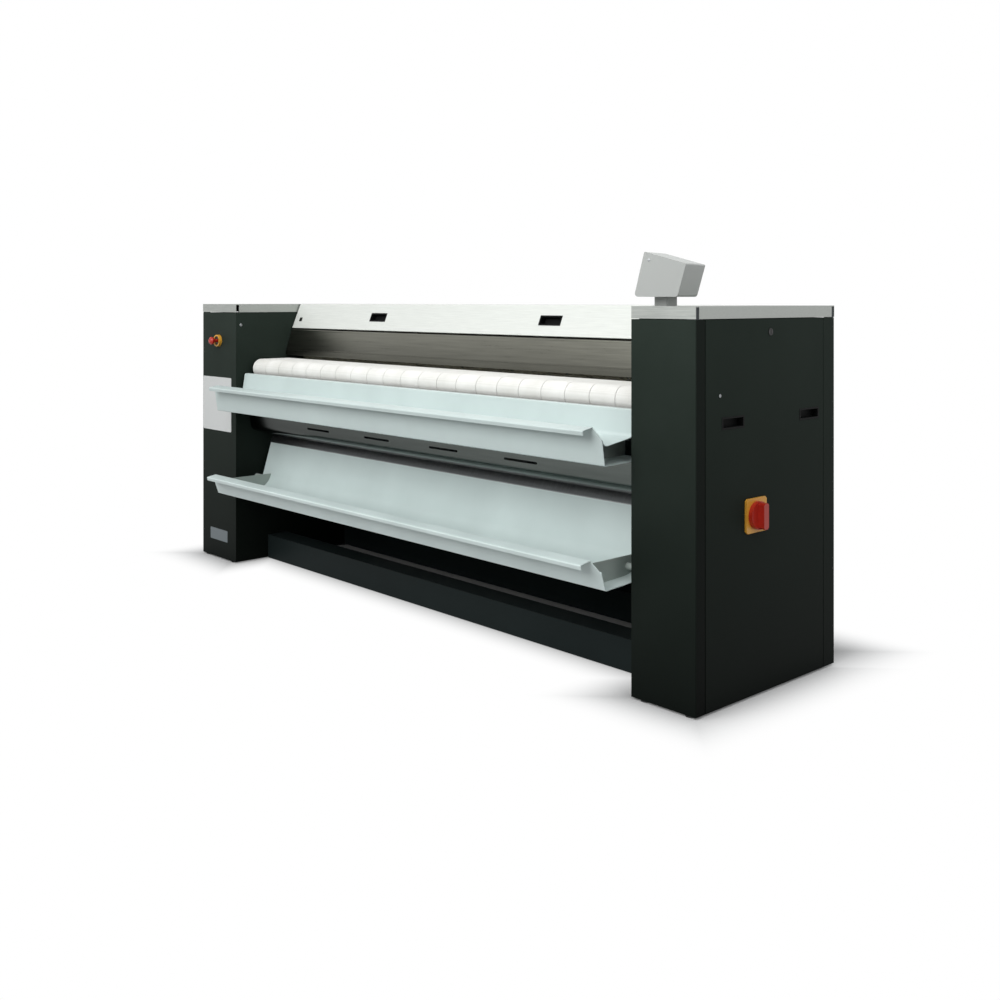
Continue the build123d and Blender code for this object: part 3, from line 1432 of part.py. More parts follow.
def main():
    """Every node, in the drawing frame."""
    nodes = {
        "subframes": on_both(subframe),
        "front_panels": on_both(front_panel),
        "rear_panels": on_both(rear_panel),
        "levelling_feet": levelling_feet(),
        "crossbeams": joined(base_beam(), rear_base_beam(), rear_top_beam(), front_beam(), hood_hinges()),
        "rear_cover": rear_cover(),
        "hood": hood(),
        "hood_grips": hood_grips(),
        "finger_guard": finger_guard() + guard_strip(),
        "feed_belts": feed_belts(),
        "feed_bed": feed_bed(),
        "nose_roller": roller(nose, nose_radius - belt_slack),
        "feed_drive_roller": roller(feed_drive, feed_drive_radius - belt_slack),
        "nip_roller": roller(nip_roller, belt_roller_radius - belt_slack),
        "exit_roller": roller(exit_roller, belt_roller_radius - belt_slack),
        "tension_roller": roller(tension_roller, belt_roller_radius - belt_slack),
        "low_return_roller": roller(low_roller, belt_roller_radius - belt_slack),
        "roller_bearings": joined(on_both(roller_bearings), cylinder_bearings()),
        "heated_cylinder": cylinder_shell(),
        "heater_bundle": joined(heater_bundle(), heater_brackets()),
        "ironing_belts": ironing_belts(),
        "stripper_fingers": stripper_fingers(),
        "feed_trough": feed_trough(),
        "trough_liner": trough_liner(),
        "catch_tray": catch_tray(),
        "tray_end_plates": joined(trough_end_plates(), catch_end_plates(), tray_spacers()),
        "exit_apron": exit_apron(),
        "exit_chute": exit_chute(),
        "cylinder_sprocket": cylinder_sprocket(),
        "motor_sprocket": motor_sprocket(),
        "drive_chain": chain_band(),
        "gearmotor": joined(gearmotor(), gearmotor_bracket()),
        "fan_scroll": joined(fan_scroll(), exhaust_spigot()),
        "fan_impeller": fan_impeller(),
        "fan_motor": fan_motor(),
        "electrical_plate": electrical_plate(),
        "switch_base": switch_base(),
        "electrical_gear": joined(contactors(), guard_switch(), cable_gland()),
        "switch_plate": switch_plate_piece(),
        "switch_handle": joined(switch_handle(), switch_shaft_rod()),
        "estop_body": estop_body(),
        "estop_button": estop_button(),
        "console_post": console_post(),
        "console_housing": console_place(console_housing()),
        "console_panel": console_place(console_panel()),
        "console_screen": console_place(console_screen()),
    }
    for number, name in enumerate(("start", "stop", "faster", "slower")):
        nodes["key_" + name] = console_place(console_key(number))
    for cabinet in cabinets:
        nodes["side_frame_" + cabinet] = side_frame(cabinet)
        nodes["side_panel_" + cabinet] = side_panel(cabinet)
        nodes["panel_grips_" + cabinet] = panel_grips(cabinet)
        nodes["panel_lock_" + cabinet] = quarter_turn_lock(cabinet)
        nodes["top_cover_" + cabinet] = top_cover(cabinet)
    return nodes


def export_all():
    """Moves the origin to the middle of the machine's box on the floor and writes each node."""
    os.makedirs("parts", exist_ok=True)
    nodes = main()
    box = group(nodes.values()).bounding_box()
    shift = Pos(-(box.min.X + box.max.X) / 2, -(box.min.Y + box.max.Y) / 2, 0)
    for name, shape in nodes.items():
        export_step(group([shift * solid for solid in shape.solids()]), "parts/" + name + ".step")
    print(len(nodes), "nodes, moved by", shift.position)


if __name__ == "__main__":
    export_all()
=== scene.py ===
# Flatwork drying ironer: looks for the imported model, in metres, in the same frame as the CAD.
import math

import bmesh
import bpy
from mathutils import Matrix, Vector


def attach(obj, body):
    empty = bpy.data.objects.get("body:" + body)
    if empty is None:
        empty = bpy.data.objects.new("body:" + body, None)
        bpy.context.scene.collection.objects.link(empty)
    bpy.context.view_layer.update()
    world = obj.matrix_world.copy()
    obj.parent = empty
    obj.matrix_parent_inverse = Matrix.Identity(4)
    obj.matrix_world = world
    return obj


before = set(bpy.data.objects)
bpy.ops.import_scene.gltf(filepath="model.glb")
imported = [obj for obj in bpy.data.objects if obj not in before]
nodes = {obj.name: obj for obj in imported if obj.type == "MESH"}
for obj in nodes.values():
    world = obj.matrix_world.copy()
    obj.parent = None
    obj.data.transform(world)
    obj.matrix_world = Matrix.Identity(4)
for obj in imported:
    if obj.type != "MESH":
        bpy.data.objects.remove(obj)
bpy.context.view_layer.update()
print("frame loaded:", len(nodes), "nodes")

# where the drawing's own zero lies in the frame: X = 0 at mid length, Y = 0 at the cabinets' front
drawn = {"x": -0.018, "y": -0.2882513}


def toFrame(x, y, z):
    return Vector((x + drawn["x"], y + drawn["y"], z))


def toLinear(hexText):
    # the sRGB curve, undone
    channels = []
    for start in (0, 2, 4):
        value = int(hexText[start:start + 2], 16) / 255
        channels.append(value / 12.92 if value <= 0.04045 else ((value + 0.055) / 1.055) ** 2.4)
    return (*channels, 1.0)


def addNode(tree, kind, settings=None, values=None, links=None, stops=()):
    # settings are attributes, values fill sockets, links are {socket: output}, stops are a ramp's places and colours
    node = tree.nodes.new(kind)
    for name, setting in (settings or {}).items():
        setattr(node, name, setting)
    for socket, value in (values or {}).items():
        node.inputs[socket].default_value = value
    for socket, output in (links or {}).items():
        tree.links.new(node.inputs[socket], output)
    for number, (position, colour) in enumerate(stops):
        node.color_ramp.elements[number].position = position
        node.color_ramp.elements[number].color = toLinear(colour)
    return node


def newMaterial(name):
    material = bpy.data.materials.new(name)
    material.use_nodes = True
    tree = material.node_tree
    tree.nodes.clear()
    place = addNode(tree, "ShaderNodeTexCoord").outputs["Object"]
    return material, tree, place


def closeMaterial(tree, shader):
    addNode(tree, "ShaderNodeOutputMaterial", links={"Surface": shader.outputs[0]})


def perMetre(millimetres):
    return 1000 / millimetres


def addPaintedShade(tree, place, colour, paintedShades):
    # painted shade: each tone darkens the finish along one axis, from its full colour at "full" to a share of it at
    # "deep"
    for axis, tone in paintedShades.items():
        axes = addNode(tree, "ShaderNodeSeparateXYZ", links={"Vector": place})
        share = addNode(tree, "ShaderNodeMapRange",
                        values={"From Min": tone["deep"], "From Max": tone["full"],
                                "To Min": tone["share"], "To Max": 1.0},
                        links={"Value": axes.outputs[axis]})
        colour = addNode(tree, "ShaderNodeVectorMath", settings={"operation": "SCALE"},
                         links={0: colour, "Scale": share.outputs[0]}).outputs[0]
    return colour


def powderCoat(name, values):
    # sprayed and baked powder or paint: faint broad patches, orange peel, soft gloss that wanders a little
    material, tree, place = newMaterial(name)
    patches = addNode(tree, "ShaderNodeTexNoise",
                      values={"Scale": perMetre(values["patch"]), "Detail": 3.0}, links={"Vector": place})
    tint = addNode(tree, "ShaderNodeValToRGB", links={"Fac": patches.outputs["Fac"]},
                   stops=((0.35, values["deep"]), (0.7, values["main"])))
    # the peel's grains are drawn about three times coarser than real ones so that they show
    peel = addNode(tree, "ShaderNodeTexNoise",
                   values={"Scale": perMetre(values["grain"]), "Detail": 2.0}, links={"Vector": place})
    wear = addNode(tree, "ShaderNodeMapRange",
                   values={"To Min": values["rough"] - 0.05, "To Max": values["rough"] + 0.06},
                   links={"Value": patches.outputs["Fac"]})
    bump = addNode(tree, "ShaderNodeBump", values={"Strength": values["bump"], "Distance": 0.0006},
                   links={"Height": peel.outputs["Fac"]})
    colour = addPaintedShade(tree, place, tint.outputs["Color"], values.get("paintedShades", {}))
    shader = addNode(tree, "ShaderNodeBsdfPrincipled",
                     values={"Metallic": 0.0, "IOR": 1.5, "Specular IOR Level": values["gloss"]},
                     links={"Base Color": colour, "Roughness": wear.outputs[0], "Normal": bump.outputs[0]})
    closeMaterial(tree, shader)
    return material


def brushedSteel(name, values):
    # brushed, ground or turned: scratches that run one way and draw the reflections out across them
    material, tree, place = newMaterial(name)
    # the scratches are drawn some twenty times coarser than real ones so that they show
    stretch = addNode(tree, "ShaderNodeMapping",
                      values={"Scale": [perMetre(size) for size in values["scratch"]]}, links={"Vector": place})
    scratches = addNode(tree, "ShaderNodeTexNoise", values={"Scale": 1.0, "Detail": 4.0, "Roughness": 0.7},
                        links={"Vector": stretch.outputs[0]})
    tint = addNode(tree, "ShaderNodeValToRGB", links={"Fac": scratches.outputs["Fac"]},
                   stops=((0.3, values["deep"]), (0.75, values["main"])))
    wear = addNode(tree, "ShaderNodeMapRange",
                   values={"To Min": values["rough"] - 0.08, "To Max": values["rough"] + 0.08},
                   links={"Value": scratches.outputs["Fac"]})
    bump = addNode(tree, "ShaderNodeBump", values={"Strength": values["bump"], "Distance": 0.0002},
                   links={"Height": scratches.outputs["Fac"]})
    colour = addPaintedShade(tree, place, tint.outputs["Color"], values.get("paintedShades", {}))
    shader = addNode(tree, "ShaderNodeBsdfPrincipled", values={"Metallic": values["metal"]},
                     links={"Base Color": colour, "Roughness": wear.outputs[0], "Normal": bump.outputs[0]})
    closeMaterial(tree, shader)
    return material


def mouldedPlastic(name, values):
    # injection moulded: even colour over the fine grain of a spark-eroded mould
    material, tree, place = newMaterial(name)
    # the grain is drawn some ten times coarser than a real one so that it shows
    grain = addNode(tree, "ShaderNodeTexNoise",
                    values={"Scale": perMetre(values["grain"]), "Detail": 2.0}, links={"Vector": place})
    tint = addNode(tree, "ShaderNodeValToRGB", links={"Fac": grain.outputs["Fac"]},
                   stops=((0.0, values["deep"]), (1.0, values["main"])))
    wear = addNode(tree, "ShaderNodeMapRange",
                   values={"To Min": values["rough"] - 0.05, "To Max": values["rough"] + 0.05},
                   links={"Value": grain.outputs["Fac"]})
    bump = addNode(tree, "ShaderNodeBump", values={"Strength": values["bump"], "Distance": 0.0003},
                   links={"Height": grain.outputs["Fac"]})
    shader = addNode(tree, "ShaderNodeBsdfPrincipled",
                     values={"IOR": 1.5, "Specular IOR Level": values.get("gloss", 0.5)},
                     links={"Base Color": tint.outputs["Color"], "Roughness": wear.outputs[0],
                            "Normal": bump.outputs[0]})
    closeMaterial(tree, shader)
    return material


waveRepeat = math.tau / 20  # a wave texture at scale 1 repeats after this many metres


def wovenBelt(name, values):
    # plain-woven band: threads over and under, faint soiling, no gloss but a soft sheen at its edges
    material, tree, place = newMaterial(name)
    # one repeat is a thread over and one under, drawn about twice as coarse as real ones so that they show
    threads = {}
    for run, axis in (("warp", "X"), ("weft", "Y")):
        threads[run] = addNode(tree, "ShaderNodeTexWave", settings={"wave_type": "BANDS", "bands_direction": axis},
                               values={"Scale": waveRepeat * perMetre(values["weave"]), "Distortion": 0.6,
                                       "Detail": 1.0},
                               links={"Vector": place})
    weave = addNode(tree, "ShaderNodeMath", settings={"operation": "MULTIPLY"},
                    links={0: threads["warp"].outputs["Fac"], 1: threads["weft"].outputs["Fac"]})
    soil = addNode(tree, "ShaderNodeTexNoise", values={"Scale": perMetre(values["soil"]), "Detail": 4.0},
                   links={"Vector": place})
    blend = addNode(tree, "ShaderNodeMath", settings={"operation": "MULTIPLY_ADD"}, values={1: 0.3},
                    links={0: weave.outputs[0], 2: soil.outputs["Fac"]})
    tint = addNode(tree, "ShaderNodeValToRGB", links={"Fac": blend.outputs[0]},
                   stops=((0.3, values["deep"]), (0.8, values["main"])))
    bump = addNode(tree, "ShaderNodeBump", values={"Strength": values["bump"], "Distance": 0.0005},
                   links={"Height": weave.outputs[0]})
    shader = addNode(tree, "ShaderNodeBsdfPrincipled", values={"Roughness": 0.85, "Sheen Weight": 0.2},
                     links={"Base Color": tint.outputs["Color"], "Normal": bump.outputs[0]})
    closeMaterial(tree, shader)
    return material


# in all finishes "main" and "deep" are a pattern's two colours, and patterns are in millimetres
cabinetCoat = {"patch": 333.333, "grain": 2.5, "bump": 0.12, "rough": 0.5}
trayCoat = {"patch": 250.0, "grain": 2.5, "bump": 0.08, "rough": 0.38, "gloss": 0.45}
brushedAlong = {"scratch": (83.333, 2.0833, 2.0833)}
mouldGrain = {"grain": 1.2, "bump": 0.12, "rough": 0.35}
# painted shade: the cabinets' colour falls to a fifth of itself at the floor
paintedShadeTowardsFloor = {"full": 1.0, "deep": 0.0, "share": 0.2}
# painted shade: behind the front panels' rounded corners the returns fall to two fifths of their colour
paintedShadeOnReturns = {"full": drawn["y"] + 0.001, "deep": drawn["y"] + 0.004, "share": 0.4}

finishes = {
    # matt near-black with a green cast, hardly any highlight, with painted shade that darkens it towards the floor
    "anthracitePowder": powderCoat("anthracite fine-texture powder coat", {
        **cabinetCoat, "main": "2a322d", "deep": "252d28", "gloss": 0.03, "paintedShades": {"Z": paintedShadeTowardsFloor}}),
    # the same coat painted a shade lighter as painted light on the front panels, with painted shade behind the
    # rounded corner that makes the returns darker than the side panels, and the same painted shade towards the floor
    "frontPanelPowder": powderCoat("anthracite fine-texture powder coat on front panels", {
        **cabinetCoat, "main": "2e3631", "deep": "28302b", "gloss": 0.03,
        "paintedShades": {"Z": paintedShadeTowardsFloor, "Y": paintedShadeOnReturns}}),
    # the same coat darkened as painted shade from the trays above: a cooler black
    "shadedBeamPowder": powderCoat("anthracite fine-texture powder coat on beams", {
        **cabinetCoat, "main": "1f2626", "deep": "1a2121", "gloss": 0.05}),
    # dull blue-black paint on welded tube
    "framePaint": powderCoat("dark frame paint", {
        "main": "30363a", "deep": "272c2f", "patch": 166.667, "grain": 3.0, "bump": 0.2, "rough": 0.55,
        "gloss": 0.4}),
    # pale grey with a green cast and a satin gloss that brightens the folds
    "trayPowder": powderCoat("light grey satin powder coat", {**trayCoat, "main": "c9d6d4", "deep": "c0cdcb"}),
    # the same satin coat, painted a shade paler on the lower tray as painted light
    "litCatchPowder": powderCoat("pale grey satin powder coat", {**trayCoat, "main": "d3e0de", "deep": "c9d6d4"}),
    # the trays' light grey darkened to a duller mid grey as painted shade on the end plates
    "shadedEndPlatePowder": powderCoat("mid grey powder coat", {
        **trayCoat, "main": "a4ada8", "deep": "9aa39e", "rough": 0.42, "gloss": 0.3}),
    # almost white, with long faint lines and no mirror image
    "hoodSteel": brushedSteel("pale brushed stainless steel", {
        **brushedAlong, "main": "dfe2dd", "deep": "cfd2cd", "rough": 0.5, "bump": 0.08, "metal": 0.2}),
    # plain grey steel with long lines along the machine
    "coverSteel": brushedSteel("brushed stainless steel", {
        **brushedAlong, "main": "b2b5b1", "deep": "989c98", "rough": 0.38, "bump": 0.1, "metal": 0.75}),
    # warm grey mirror, blurred; its dark warm grey and its darkening towards its foot are a painted reflection
    "guardSteel": brushedSteel("polished stainless steel", {
        "main": "7c7c73", "deep": "6d6d65", "scratch": (250.0, 8.3333, 8.3333), "rough": 0.3, "bump": 0.03,
        "metal": 1.0, "paintedShades": {"Z": {"full": 0.965, "deep": 0.87, "share": 0.6}}}),
    # dark glossy sheet, darker towards its foot and its left end with painted reflection and painted shade
    "apronSteel": brushedSteel("bright-rolled steel sheet", {
        "main": "686e6b", "deep": "5a605d", "scratch": (250.0, 12.5, 12.5), "rough": 0.22, "bump": 0.03,
        "metal": 1.0, "paintedShades": {"Z": {"full": 0.70, "deep": 0.38, "share": 0.3},
                                "X": {"full": 0.6, "deep": -1.0, "share": 0.35}}}),
    # grey metal with fine rings round it
    "plainSteel": brushedSteel("turned steel", {
        "main": "a9abad", "deep": "8d9092", "scratch": (2.0833, 31.25, 31.25), "rough": 0.35, "bump": 0.1,
        "metal": 1.0}),
    # bright metal with finer rings and clearer reflections
    "drumSteel": brushedSteel("ground steel", {
        "main": "c6c8c9", "deep": "b4b7b8", "scratch": (1.5625, 41.6667, 41.6667), "rough": 0.22, "bump": 0.05,
        "metal": 1.0}),
    # cool grey in small blotches, like the flakes of a zinc coat
    "zincSheet": powderCoat("galvanised steel sheet", {
        "main": "a3a8aa", "deep": "8f9598", "patch": 16.6667, "grain": 4.0, "bump": 0.1, "rough": 0.45,
        "gloss": 0.6}),
    # dark blue-grey over a sandy skin
    "castIron": powderCoat("painted cast iron", {
        "main": "3d4447", "deep": "2f3538", "patch": 33.3333, "grain": 1.5, "bump": 0.5, "rough": 0.6,
        "gloss": 0.4}),
    # off-white cloth with fine threads
    "beltCloth": wovenBelt("woven polyester belt", {
        "main": "efeeea", "deep": "d9d8d2", "weave": 3.15667, "soil": 111.111, "bump": 0.3}),
    # sand-coloured, coarser cloth
    "feltCloth": wovenBelt("needled aramid felt", {
        "main": "d8cfb6", "deep": "c3b89c", "weave": 4.9323, "soil": 111.111, "bump": 0.5}),
    # black with a dull sheen
    "blackPlastic": mouldedPlastic("black moulded nylon", {
        **mouldGrain, "main": "141414", "deep": "0c0c0c", "bump": 0.25, "rough": 0.45}),
    # black that takes no highlight, inside the recesses
    "gripPlastic": mouldedPlastic("matt black moulded nylon", {
        **mouldGrain, "main": "0e0f0f", "deep": "0a0b0b", "bump": 0.25, "rough": 0.6, "gloss": 0.1}),
    # even mid grey with a soft shine
    "consolePlastic": mouldedPlastic("grey moulded ABS", {
        **mouldGrain, "main": "b0b3b0", "deep": "a8aba8", "bump": 0.2, "rough": 0.42}),
    # pale grey with a soft shine
    "palePlastic": mouldedPlastic("pale grey moulded polycarbonate", {
        **mouldGrain, "main": "d3d4d4", "deep": "c6c7c7", "bump": 0.15, "rough": 0.4}),
    # warm safety yellow
    "yellowPlastic": mouldedPlastic("yellow moulded nylon", {**mouldGrain, "main": "dca23a", "deep": "d0952c"}),
    # strong red, smoother than the yellow round it
    "redPlastic": mouldedPlastic("red moulded nylon", {
        **mouldGrain, "main": "b22a1c", "deep": "a42417", "rough": 0.3, "gloss": 0.4}),
    # plain green
    "greenPlastic": mouldedPlastic("green moulded nylon", {**mouldGrain, "main": "2f9a45", "deep": "278a3b"}),
    # black and smooth, with sharp highlights
    "screenGlass": mouldedPlastic("dark display glass", {
        "main": "101a1c", "deep": "0c1517", "grain": 20.0, "bump": 0.0, "rough": 0.12}),
    # smooth film, white on the one plate and blue-grey on the other
    "signWhite": mouldedPlastic("white polyester film", {
        "main": "d2d4d3", "deep": "c9cbca", "grain": 4.0, "bump": 0.05, "rough": 0.4}),
    "signGrey": mouldedPlastic("grey polyester film", {
        "main": "5e686c", "deep": "566064", "grain": 4.0, "bump": 0.05, "rough": 0.4}),
}

nodesOfFinish = {
    "anthracitePowder": ["side_frame_left", "side_frame_right", "rear_panels", "rear_cover",
                         "side_panel_left", "side_panel_right"],
    "frontPanelPowder": ["front_panels"],
    "shadedBeamPowder": ["crossbeams"],
    "framePaint": ["subframes"],
    "trayPowder": ["feed_trough", "trough_liner"],
    "litCatchPowder": ["catch_tray"],
    "shadedEndPlatePowder": ["tray_end_plates"],
    "hoodSteel": ["hood"],
    "coverSteel": ["top_cover_left", "top_cover_right"],
    "guardSteel": ["finger_guard"],
    "apronSteel": ["exit_apron"],
    "plainSteel": ["feed_bed", "nose_roller", "feed_drive_roller", "nip_roller", "exit_roller", "tension_roller",
                   "low_return_roller", "heater_bundle", "stripper_fingers", "exit_chute", "cylinder_sprocket",
                   "motor_sprocket", "drive_chain"],
    "drumSteel": ["heated_cylinder"],
    "zincSheet": ["fan_scroll", "fan_impeller", "electrical_plate"],
    "castIron": ["roller_bearings", "gearmotor", "fan_motor"],
    "beltCloth": ["feed_belts"],
    "feltCloth": ["ironing_belts"],
    "blackPlastic": ["levelling_feet", "console_panel", "panel_lock_left", "panel_lock_right"],
    "gripPlastic": ["hood_grips", "panel_grips_left", "panel_grips_right"],
    "consolePlastic": ["console_post", "console_housing"],
    "palePlastic": ["electrical_gear", "switch_base", "key_faster", "key_slower"],
    "yellowPlastic": ["switch_plate", "estop_body"],
    "redPlastic": ["switch_handle", "estop_button", "key_stop"],
    "greenPlastic": ["key_start"],
    "screenGlass": ["console_screen"],
}
for finish, names in nodesOfFinish.items():
    for name in names:
        nodes[name].data.materials.clear()
        nodes[name].data.materials.append(finishes[finish])
print("finishes given to", sum(len(names) for names in nodesOfFinish.values()), "nodes")


def startPiece():
    if bpy.context.object and bpy.context.object.mode != "OBJECT":
        bpy.ops.object.mode_set(mode="OBJECT")
    bpy.ops.object.select_all(action="DESELECT")


def finishPiece(piece, name, finish, body):
    # the place goes into the mesh, then the piece gets its finish and its body
    startPiece()
    piece.select_set(True)
    bpy.context.view_layer.objects.active = piece
    bpy.ops.object.transform_apply(location=True, rotation=True, scale=True)
    piece.name = name
    piece.data.name = name
    piece.data.materials.clear()
    piece.data.materials.append(finishes[finish])
    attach(piece, body)


straight = 0.9  # how much of a normal or an edge lies along an axis when it counts as running that way


def barePlate(name, finish, values):
    # thin plate with rounded corners on a cabinet's front
    startPiece()
    left, right = values["x"]
    foot, top = values["z"]
    centre = toFrame((left + right) / 2, -values["thick"] / 2, (foot + top) / 2)
    bpy.ops.mesh.primitive_cube_add(size=1, location=centre)
    plate = bpy.context.object
    plate.scale = (right - left, values["thick"], top - foot)
    bpy.ops.object.transform_apply(location=False, rotation=False, scale=True)
    bpy.ops.object.mode_set(mode="EDIT")
    bpy.ops.mesh.select_all(action="DESELECT")
    bpy.ops.mesh.select_mode(type="EDGE")
    mesh = bmesh.from_edit_mesh(plate.data)
    for edge in mesh.edges:
        along = (edge.verts[0].co - edge.verts[1].co).normalized()
        edge.select = abs(along.y) > straight
    bmesh.update_edit_mesh(plate.data)
    bpy.ops.mesh.bevel(offset=values["corner"], segments=4, affect="EDGES")
    bpy.ops.object.mode_set(mode="OBJECT")
    finishPiece(plate, name, finish, "machine")


whitePlate = {"x": (-1.3260, -1.0860), "z": (0.5430, 0.7700), "thick": 0.0008, "corner": 0.006}
barePlate("whiteSignPlate", "signWhite", whitePlate)
greyPlate = {"x": (-1.2620, -1.1170), "z": (0.0770, 0.1250), "thick": 0.0008, "corner": 0.004}
barePlate("greySignPlate", "signGrey", greyPlate)
print("plates made")


def pickFaces(piece, test):
    # leaves only the faces that pass the test selected, in edit mode
    bpy.ops.object.mode_set(mode="EDIT")
    bpy.ops.mesh.select_mode(type="FACE")
    bpy.ops.mesh.select_all(action="DESELECT")
    mesh = bmesh.from_edit_mesh(piece.data)
    for face in mesh.faces:
        face.select = test(face)
    bmesh.update_edit_mesh(piece.data)


def smoothAndTurn(piece, place, facing):
    # modelled round Z, then smoothed and turned to face out of its wall
    bpy.ops.object.mode_set(mode="OBJECT")
    bpy.ops.object.shade_smooth_by_angle(angle=math.radians(40))
    piece.location = toFrame(*place)
    piece.rotation_euler = Vector(facing).to_track_quat("Z", "Y").to_euler()


# shares of the screw's radius and height
screwHead = {"rim": 0.2, "crown": 0.4, "land": 0.35, "socket": 0.7}


def socketScrew(name, finish, values, body):
    # button-head screw with a round socket
    startPiece()
    radius, height = values["radius"], values["height"]
    bpy.ops.mesh.primitive_cylinder_add(vertices=32, radius=radius, depth=height)
    screw = bpy.context.object
    pickFaces(screw, lambda face: face.normal.z > straight)
    bpy.ops.mesh.inset(thickness=screwHead["rim"] * radius)
    bpy.ops.transform.translate(value=(0, 0, screwHead["crown"] * height))
    bpy.ops.mesh.inset(thickness=screwHead["land"] * radius)
    bpy.ops.mesh.extrude_region_move(TRANSFORM_OT_translate={"value": (0, 0, -screwHead["socket"] * height)})
    smoothAndTurn(screw, values["place"], values["facing"])
    finishPiece(screw, name, finish, body)


consoleTurn = math.radians(16.3)  # how far the console looks to the side
screws = {
    "consoleCapScrew": ("console_body", {
        "radius": 0.0038, "height": 0.0012, "place": (1.1851, -0.01335, 1.2040),
        "facing": (math.sin(consoleTurn), -math.cos(consoleTurn), 0.0)}),
    "innerWallScrew": ("machine", {
        "radius": 0.006, "height": 0.003, "place": (-1.0475, 0.0228, 0.9930), "facing": (1.0, 0.0, 0.0)}),
    "sidePanelPlug": ("right_panel_body", {
        "radius": 0.0045, "height": 0.0015, "place": (1.3318, 0.1044, 0.8402), "facing": (1.0, 0.0, 0.0)}),
}
for name, (body, values) in screws.items():
    socketScrew(name, "plainSteel", values, body)


def stopBezelAndShade(values):
    # black ring that lines the floor of the yellow emergency-stop collar, partly a bezel and partly painted shade of
    # the collar's hollow
    startPiece()
    bpy.ops.mesh.primitive_cylinder_add(vertices=64, radius=values["outer"], depth=values["thick"])
    ring = bpy.context.object
    pickFaces(ring, lambda face: abs(face.normal.z) > straight)
    bpy.ops.mesh.inset(thickness=values["outer"] - values["inner"])
    bpy.ops.mesh.bridge_edge_loops()
    smoothAndTurn(ring, values["place"], (0.0, -1.0, 0.0))
    finishPiece(ring, "stopBezelAndShade", "blackPlastic", "machine")


stopBezelAndShade({"outer": 0.0193, "inner": 0.0085, "thick": 0.003, "place": (-1.190, -0.0069, 0.925)})
print("screws and bezel made")


def seenDirectly(tree):
    # 1 for what the camera, a reflection or a clear pane shows, 0 for what lights the object
    rays = addNode(tree, "ShaderNodeLightPath")
    mirrored = addNode(tree, "ShaderNodeMath", settings={"operation": "MAXIMUM"},
                       links={0: rays.outputs["Is Camera Ray"], 1: rays.outputs["Is Glossy Ray"]})
    seen = addNode(tree, "ShaderNodeMath", settings={"operation": "MAXIMUM"},
                   links={0: mirrored.outputs[0], 1: rays.outputs["Is Transmission Ray"]})
    return seen.outputs[0]


def footprintDistance(tree, place, footprints):
    # how far a spot lies outside the machine's footprint, in metres, below zero inside it
    axes = addNode(tree, "ShaderNodeSeparateXYZ", links={"Vector": place})
    across = addNode(tree, "ShaderNodeMath", settings={"operation": "SUBTRACT"}, values={1: drawn["x"]},
                     links={0: axes.outputs["X"]})
    fromMiddle = addNode(tree, "ShaderNodeMath", settings={"operation": "ABSOLUTE"}, links={0: across.outputs[0]})
    nearest = None
    for box in footprints.values():
        outside = []
        for output, (middle, reach) in ((fromMiddle.outputs[0], box["x"]), (axes.outputs["Y"], box["y"])):
            centred = addNode(tree, "ShaderNodeMath", settings={"operation": "SUBTRACT"}, values={1: middle},
                              links={0: output})
            far = addNode(tree, "ShaderNodeMath", settings={"operation": "ABSOLUTE"}, links={0: centred.outputs[0]})
            outside.append(addNode(tree, "ShaderNodeMath", settings={"operation": "SUBTRACT"}, values={1: reach},
                                   links={0: far.outputs[0]}))
        away = addNode(tree, "ShaderNodeMath", settings={"operation": "MAXIMUM"},
                       links={0: outside[0].outputs[0], 1: outside[1].outputs[0]})
        if nearest:
            away = addNode(tree, "ShaderNodeMath", settings={"operation": "MINIMUM"},
                           links={0: nearest.outputs[0], 1: away.outputs[0]})
        nearest = away
    return nearest.outputs[0]


plainWhite = (1.0, 1.0, 1.0, 1.0)


def studioFloor(values):
    # painted board: beneath and near the machine its colour is darkened as painted shadow, and it shows the real
    # shadow too; further off it turns white
    startPiece()
    bpy.ops.mesh.primitive_plane_add(size=values["size"], location=(0, 0, 0))
    floor = bpy.context.object
    floor.name = "studioFloor"
    material, tree, place = newMaterial("pale matt floor paint")
    away = footprintDistance(tree, place, values["footprints"])
    nearFade, farFade = values["fade"]
    whiter = addNode(tree, "ShaderNodeMapRange", settings={"interpolation_type": "SMOOTHSTEP"},
                     values={"From Min": nearFade, "From Max": farFade, "To Min": 0.0, "To Max": 1.0},
                     links={"Value": away})
    # painted shadow: the floor's colour falls to a share of itself beneath and near the machine
    under = addNode(tree, "ShaderNodeMapRange",
                    values={"From Min": nearFade, "From Max": farFade, "To Min": values["under"], "To Max": 1.0},
                    links={"Value": away})
    pale = addNode(tree, "ShaderNodeVectorMath", settings={"operation": "SCALE"},
                   values={0: toLinear(values["colour"])[:3]}, links={"Scale": under.outputs[0]})
    matt = addNode(tree, "ShaderNodeBsdfDiffuse", links={"Color": pale.outputs[0]})
    glow = addNode(tree, "ShaderNodeEmission", values={"Color": plainWhite, "Strength": 1.0})
    shown = addNode(tree, "ShaderNodeMixShader",
                    links={0: whiter.outputs[0], 1: matt.outputs[0], 2: glow.outputs[0]})
    # a duller floor throws less light back on the object than the one that is seen
    bounce = addNode(tree, "ShaderNodeBsdfDiffuse", values={"Color": toLinear(values["bounce"])})
    mixed = addNode(tree, "ShaderNodeMixShader",
                    links={0: seenDirectly(tree), 1: bounce.outputs[0], 2: shown.outputs[0]})
    closeMaterial(tree, mixed)
    floor.data.materials.append(material)


studioFloor({
    # beneath the machine the floor keeps half its colour, a painted shadow
    "size": 60.0, "colour": "f4f4f4", "bounce": "9a9a9a", "fade": (-0.05, 0.2), "under": 0.5,
    # middle and reach along each axis, mirrored about the middle of the length
    "footprints": {"body": {"x": (0.0, 1.31), "y": (0.24, 0.31)},
                   "cabinets": {"x": (1.21, 0.12), "y": (0.024, 0.312)}}})


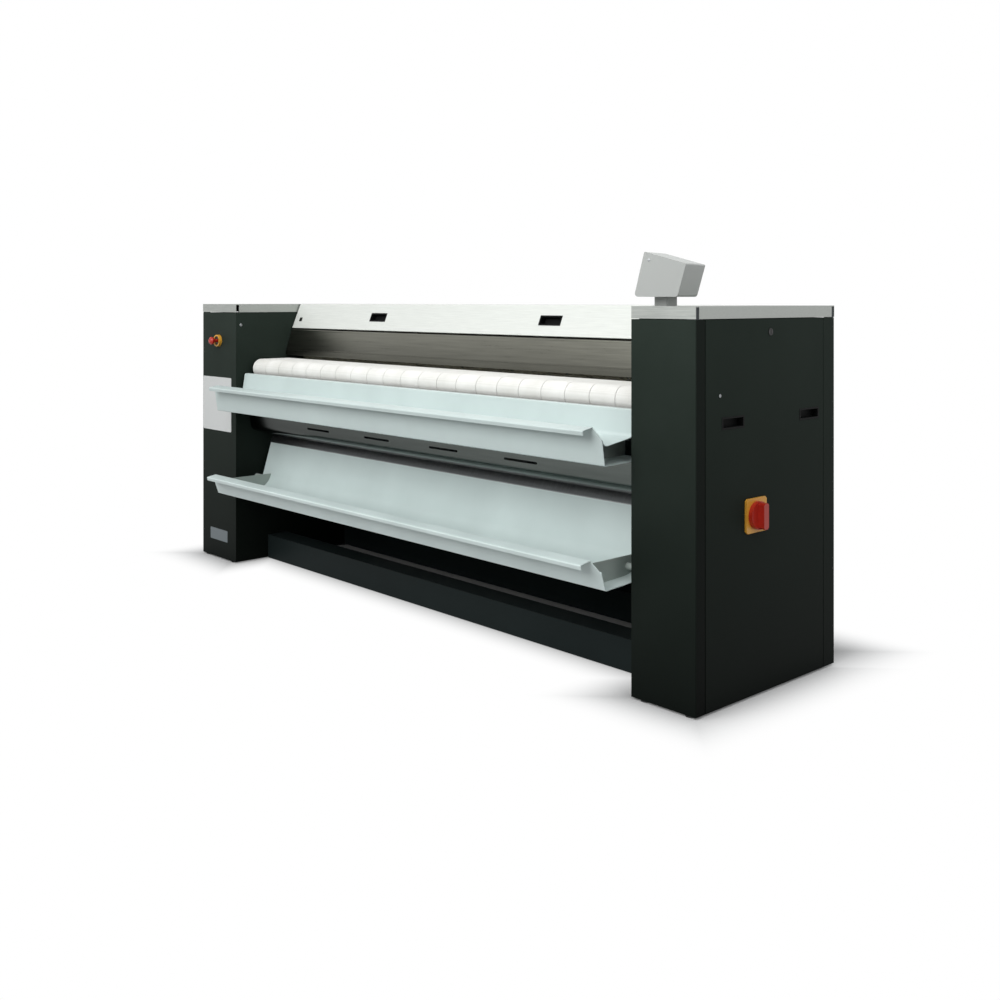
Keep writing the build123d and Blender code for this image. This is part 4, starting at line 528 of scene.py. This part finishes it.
def studioWorld(values):
    # a soft grey sky lights the object, and the camera sees white
    world = bpy.data.worlds.new("studio")
    bpy.context.scene.world = world
    world.use_nodes = True
    tree = world.node_tree
    tree.nodes.clear()
    sky = addNode(tree, "ShaderNodeBackground",
                  values={"Color": toLinear(values["sky"]), "Strength": values["strength"]})
    white = addNode(tree, "ShaderNodeBackground", values={"Color": plainWhite, "Strength": 1.0})
    mixed = addNode(tree, "ShaderNodeMixShader",
                    links={0: seenDirectly(tree), 1: sky.outputs[0], 2: white.outputs[0]})
    addNode(tree, "ShaderNodeOutputWorld", links={"Surface": mixed.outputs[0]})


studioWorld({"sky": "e9ecee", "strength": 0.42})


def softBox(name, values):
    light = bpy.data.lights.new(name, "AREA")
    light.shape = "RECTANGLE"
    light.size, light.size_y = values["size"]
    light.energy = values["power"]
    lamp = bpy.data.objects.new(name, light)
    bpy.context.scene.collection.objects.link(lamp)
    lamp.visible_glossy = values.get("mirrored", True)
    lamp.location = values["place"]
    aim = Vector(values["aim"]) - Vector(values["place"])
    lamp.rotation_euler = aim.to_track_quat("-Z", "Y").to_euler()


lamps = {
    "topBox": {"size": (6.0, 4.0), "power": 95.0, "place": (0.8, -0.8, 4.2), "aim": (0.0, 0.0, 0.5)},
    "frontBox": {"size": (4.0, 2.5), "power": 128.0, "place": (0.4, -4.0, 2.8), "aim": (0.1, 0.0, 0.5)},
    "sideBox": {"size": (2.5, 2.5), "power": 20.0, "place": (4.2, -0.6, 2.6), "aim": (1.3, 0.0, 0.9)},
    # shows the back; it stays out of reflections, so that the steel tops don't glare
    "backBox": {"size": (5.0, 2.5), "power": 130.0, "place": (-0.6, 4.4, 2.2), "aim": (0.0, 0.3, 0.6),
                "mirrored": False},
}
for name, values in lamps.items():
    softBox(name, values)

# the photograph's viewing angle, fitted to the straight edges of the cabinets and trays
cameraValues = {"place": (3.155, -2.3641, 1.0944), "turn": 47.479, "lens": 40.65, "sensor": 36.0, "shift": -0.1993}
cameraData = bpy.data.cameras.new("camera")
cameraData.sensor_width = cameraValues["sensor"]
cameraData.lens = cameraValues["lens"]
cameraData.shift_y = cameraValues["shift"]
camera = bpy.data.objects.new("camera", cameraData)
bpy.context.scene.collection.objects.link(camera)
camera.location = toFrame(*cameraValues["place"])
camera.rotation_euler = (math.radians(90), 0, math.radians(cameraValues["turn"]))
bpy.context.scene.camera = camera
bpy.context.scene.view_settings.view_transform = "Standard"
print("camera and lamps set")
